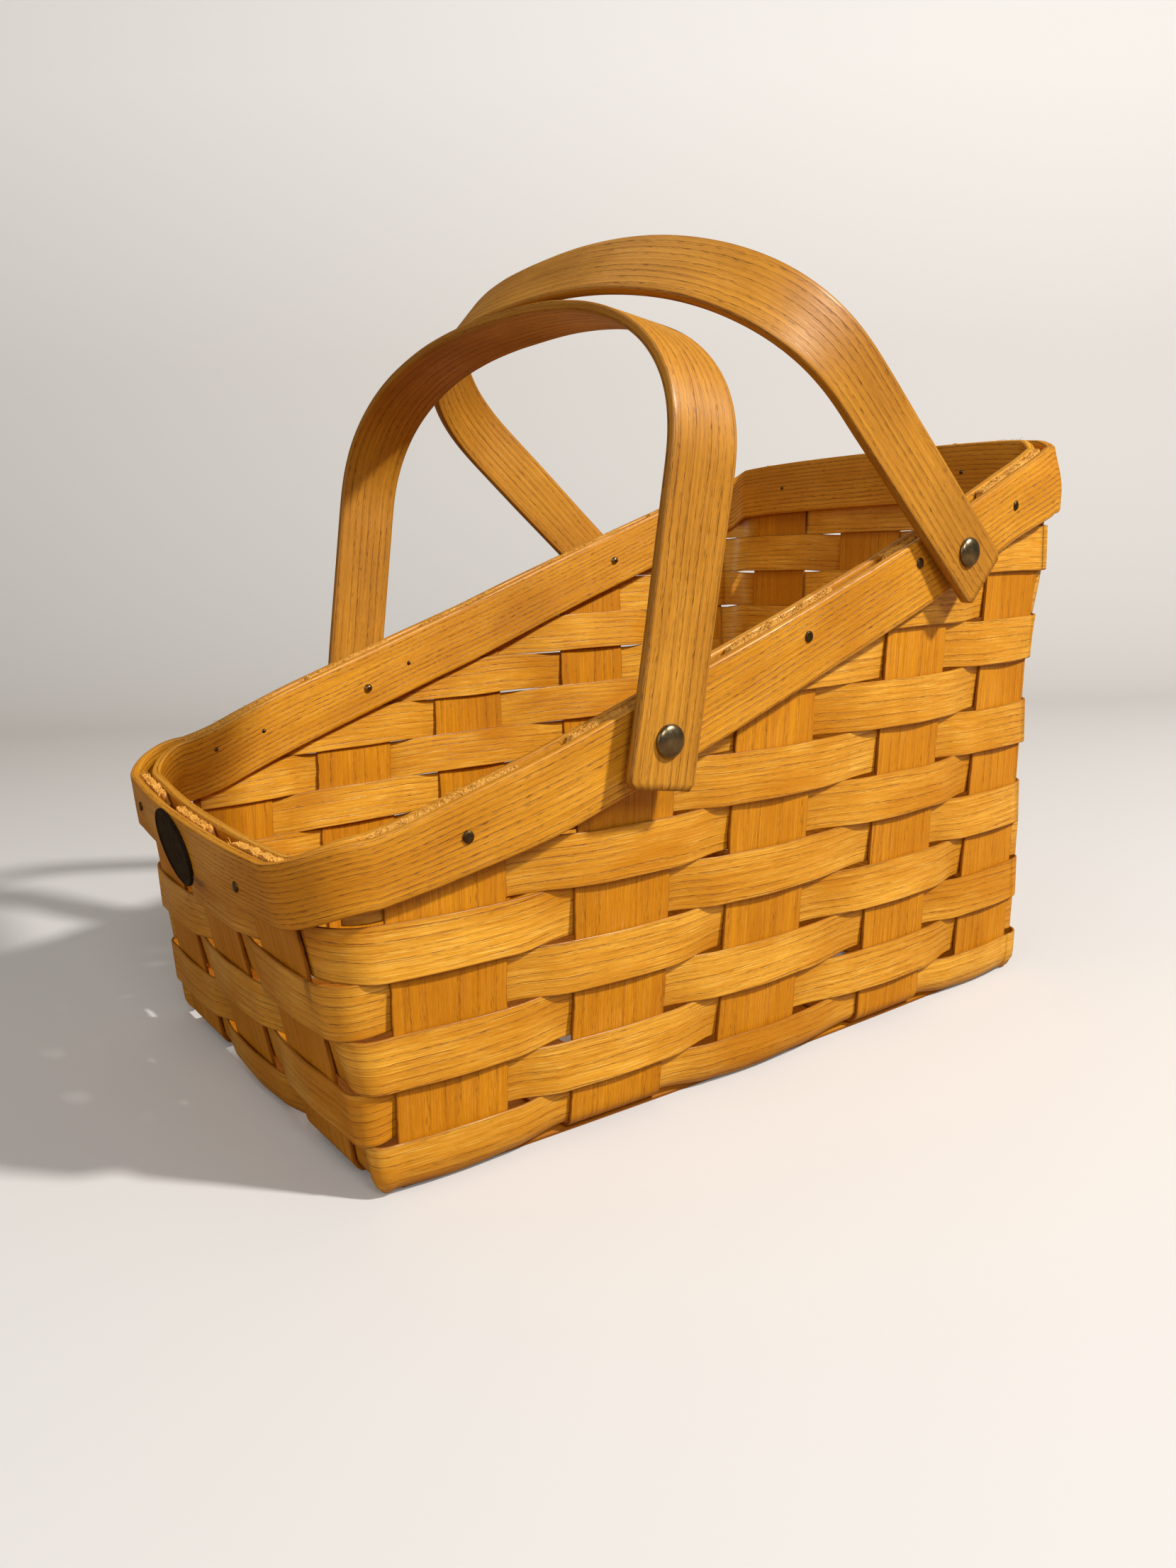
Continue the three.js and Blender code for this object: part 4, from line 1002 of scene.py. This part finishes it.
# ---------------- rough splint ends
def strand(verts, faces, uvs, pts, width, seed):
    """Adds one tapered three-sided fibre through the points."""
    base = len(verts)
    n = len(pts)
    for i, p in enumerate(pts):
        along = (pts[min(n - 1, i + 1)] - pts[max(0, i - 1)]).normalized()
        a = along.orthogonal().normalized()
        b = along.cross(a)
        r = width * (1 - 0.85 * i / (n - 1))
        for k in range(3):
            t = 2 * math.pi * k / 3
            verts.append(p + (a * math.cos(t) + b * math.sin(t)) * r)
    for i in range(n - 1):
        for k in range(3):
            j = (k + 1) % 3
            q = base + i * 3
            faces.append((q + k, q + j, q + 3 + j, q + 3 + k))
            u = 0.001 * i + seed * 0.01
            uvs.append(tuple((u, seed * 0.013 + 0.0003 * c) for c in range(4)))
    last = base + 3 * n
    faces += [(base + 2, base + 1, base), (last - 3, last - 2, last - 1)]
    uvs += [((0, 0),) * 3] * 2


def rim_run(face, s, at, v):
    return side(s, at + v + LEAN_AT_RIM) if face == "side" else head(s, at + v)


def build_ends():
    """Lumpy, torn splint ends that stand between the two rim bands, with loose fibres."""
    rng = random.Random(7)
    runs = [("side", sign, at) for sign in (1, -1) for at in CROSS]
    runs += [("end", end, at) for end in (-1, 1) for at in LONG]
    verts, faces, uvs = [], [], []
    wide = RIM_IN - FILL_GAP
    for r, (face, s, at) in enumerate(runs):
        spare = (3, 7) if face == "side" else (-1.5, 0.5)
        half = SPLINT_WIDTH / 2 + rng.uniform(*spare)
        # one piece runs on round the near front corner
        end = half + (CORNER_FILLING if (face, s, at) == ("end", -1, LONG[2]) else 0)
        n, m = round(2.5 * (half + end)), 10
        base = len(verts)
        for i in range(n + 1):
            v = -half + (half + end) * i / n
            st = rim_run(face, s, at, v)
            z = rim_top(st)
            taper = min(1.0, min(half + v, end - v) / 1.2 + 0.15)
            level = -0.15 + 0.75 * wob(v * 0.16, r * 5.1) + 0.35 * wob(v * 0.9, r * 2.3)
            for k in range(m + 1):
                q = -1 + 2 * k / m
                rough = 0.42 * wob(v * 2.1, q * 3.3, r) + 0.25 * wob(v * 5.3, q * 7.0, r + 9)
                drop = FILL_EDGE if k in (0, m) else 0.0
                top = z + min(FILL_TOP, level + rough) - (1 - taper) * 2.5 - drop
                verts.append(wall(st, top, wide * q * (0.84 + 0.16 * wob(v * 0.7, q * 2.0, r + 4))))
        for i in range(n):
            for k in range(m):
                a = base + i * (m + 1) + k
                faces.append((a, a + m + 1, a + m + 2, a + 1))
                u, w = 0.0004 * k, 0.0008 * i + r * 0.03
                uvs.append(tuple((u + 0.00002 * c, w + 0.0002 * c) for c in range(4)))
        low = len(verts)
        for i in range(n + 1):
            st = rim_run(face, s, at, -half + (half + end) * i / n)
            verts += [wall(st, rim_top(st) - FILL_DEPTH, wide * q) for q in (-1, 1)]
        for i in range(n):
            a, b = base + i * (m + 1), low + 2 * i
            faces += [(a + m + 1, a, b, b + 2), (a + m, a + 2 * m + 1, b + 3, b + 1),
                      (b, b + 1, b + 3, b + 2)]
            uvs += [((0, 0), (0.001, 0), (0.001, 0.001), (0, 0.001))] * 3
        for i in (0, n):
            a, b = base + i * (m + 1), low + 2 * i
            cap = tuple(a + k for k in range(m + 1)) + (b + 1, b)
            faces.append(cap if i == 0 else cap[::-1])
            uvs.append(tuple((0.0001 * c, 0.0) for c in range(len(cap))))
    make("rim_splint_ends", verts, faces, uvs, [0.0] * len(verts), end_wood, None, "basket",
         rounded=False)
    verts, faces, uvs = [], [], []
    for face, s, at in runs:
        for _ in range(FIBRES):
            v = rng.uniform(-SPLINT_WIDTH / 2, SPLINT_WIDTH / 2) * (1.2 if face == "side" else 1.0)
            st = rim_run(face, s, at, v)
            z = rim_top(st)
            # a root, a middle and a tip further along the rim
            off = rng.uniform(-2.0, 2.0)
            lean = rng.uniform(-3.0, 3.0)
            rise = rng.uniform(-0.9, 0.45) + (0.7 if rng.random() < 0.08 else 0.0)
            far, far2 = dict(st), dict(st)
            far["at"] += lean
            far2["at"] += lean * 1.7
            a = wall(st, z - rng.uniform(1.5, 3.0), off)
            b = wall(far, z + rise * 0.7, off * 0.9 + rng.uniform(-0.3, 0.3))
            fall = rng.uniform(0, 0.5)
            off2 = max(-FIBRE_REACH, min(FIBRE_REACH, off + rng.uniform(-0.8, 0.8)))
            c = wall(far2, z + rise - fall, off2)
            width = rng.uniform(0.10, 0.26)
            strand(verts, faces, uvs, [a, a.lerp(b, 0.6), b, c], width, rng.random() * 60)
    make("rim_fibres", verts, faces, uvs, [0.0] * len(verts), end_wood, None, "basket",
         rounded=False)


build_ends()


# ---------------- stage, light, camera
def floor_material():
    """Pale where the camera sees it, browner and darker for the light it throws back. To the camera
    it also glows, more the higher it stands: a painted glow.
    """
    g = Graph("floor_pale")
    seen = g.node("ShaderNodeLightPath").outputs["Is Camera Ray"]
    g.link(g.mix(seen, (0.30, 0.21, 0.13), (0.62, 0.628, 0.65)), g.bsdf.inputs["Base Color"])
    split = g.node("ShaderNodeSeparateXYZ")
    g.link(g.node("ShaderNodeNewGeometry").outputs["Position"], split.inputs[0])
    # painted glow: the floor and backdrop shine to the camera, more the higher they stand
    glow = g.ramp(split.outputs[2], [(0.0, 0.06), (0.9, 0.30)])
    light = g.mix(g.math("MULTIPLY", seen, glow), (0.0, 0.0, 0.0), (1.0, 1.0, 0.98))
    g.link(light, g.bsdf.inputs["Emission Color"])
    g.plain(Emission_Strength=1.0, Roughness=0.75, Specular_IOR_Level=0.15)
    return g.mat


def build_stage():
    """Floor that curves up into a backdrop behind the basket, as the camera sees it."""
    near, far, curve, height, reach = -1600, 900, 500, 2200, 2600
    away = Vector((-0.8177, 0.5758, 0)).normalized()
    across = Vector((away.y, -away.x, 0))
    prof = [(near, 0.0), (far, 0.0)]
    for k in range(1, 17):
        a = math.pi / 2 * k / 16
        prof.append((far + curve * math.sin(a), curve * (1 - math.cos(a))))
    prof.append((far + curve, height))
    verts = [away * d + Vector((0, 0, z)) + across * s for d, z in prof for s in (-reach, reach)]
    faces = [(2 * i, 2 * i + 1, 2 * i + 3, 2 * i + 2) for i in range(len(prof) - 1)]
    mesh = bpy.data.meshes.new("floor")
    mesh.from_pydata([v * 0.001 for v in verts], [], faces)
    mesh.polygons.foreach_set("use_smooth", [True] * len(faces))
    floor = bpy.data.objects.new("floor", mesh)
    bpy.context.scene.collection.objects.link(floor)
    mesh.materials.append(floor_material())


build_stage()


def lamp(name, at, size, power, colour):
    """A round lamp, in metres and watts, that looks at the middle of the basket."""
    data = bpy.data.lights.new(name, "AREA")
    data.shape = "DISK"
    data.size = size
    data.energy = power
    data.color = colour
    o = bpy.data.objects.new(name, data)
    bpy.context.scene.collection.objects.link(o)
    o.location = at
    o.rotation_mode = "QUATERNION"
    o.rotation_quaternion = (Vector(at) - Vector((0, 0, 0.1))).to_track_quat("Z", "Y")


lamp("key", (1.35, 0.85, 1.6), 0.17, 54.0, (1.0, 0.95, 0.87))
lamp("side", (1.5, -0.45, 1.15), 0.6, 8.5, (1.0, 0.96, 0.90))
lamp("fill", (0.3, -1.5, 0.7), 1.2, 4.5, (1.0, 0.97, 0.92))
lamp("rear", (-1.3, 0.9, 0.8), 1.2, 4.0, (1.0, 0.98, 0.95))
lamp("top", (-0.4, -0.2, 1.7), 1.4, 2.0, (1.0, 0.99, 0.97))
# the world: a pale wall to the camera, a dimmer and warmer room to everything else
world = bpy.data.worlds.new("studio")
bpy.context.scene.world = world
world.use_nodes = True
tree = world.node_tree
room = tree.nodes.new("ShaderNodeMix")
room.data_type = "RGBA"
room.inputs[6].default_value = (0.20, 0.176, 0.14, 1)
room.inputs[7].default_value = (0.62, 0.62, 0.60, 1)
tree.links.new(tree.nodes.new("ShaderNodeLightPath").outputs["Is Camera Ray"], room.inputs[0])
tree.links.new(room.outputs[2], tree.nodes["Background"].inputs["Color"])
tree.nodes["Background"].inputs["Strength"].default_value = 1.0

# the camera, fitted to the photograph: its place, its direction and its lens in pixels
PLACE, FOCAL, PICTURE = Vector((0.39905, -0.28657, 0.19187)), 1624.21, 2212
AZ, DOWN, ROLL = math.radians(54.845), math.radians(11.2327), math.radians(-1.7428)
fwd = Vector((-math.sin(AZ) * math.cos(DOWN), math.cos(AZ) * math.cos(DOWN), -math.sin(DOWN)))
right0 = Vector((math.cos(AZ), math.sin(AZ), 0))
up0 = right0.cross(fwd)
right = right0 * math.cos(ROLL) + up0 * math.sin(ROLL)
up = -right0 * math.sin(ROLL) + up0 * math.cos(ROLL)
cam_data = bpy.data.cameras.new("camera")
cam = bpy.data.objects.new("camera", cam_data)
bpy.context.scene.collection.objects.link(cam)
cam.matrix_world = Matrix.Translation(PLACE) @ Matrix((right, up, -fwd)).transposed().to_4x4()
cam_data.sensor_fit = "AUTO"
cam_data.sensor_width = 36
cam_data.lens = 36 * FOCAL / PICTURE
cam_data.clip_start = 0.01
bpy.context.scene.camera = cam
bpy.context.scene.view_settings.view_transform = "Standard"
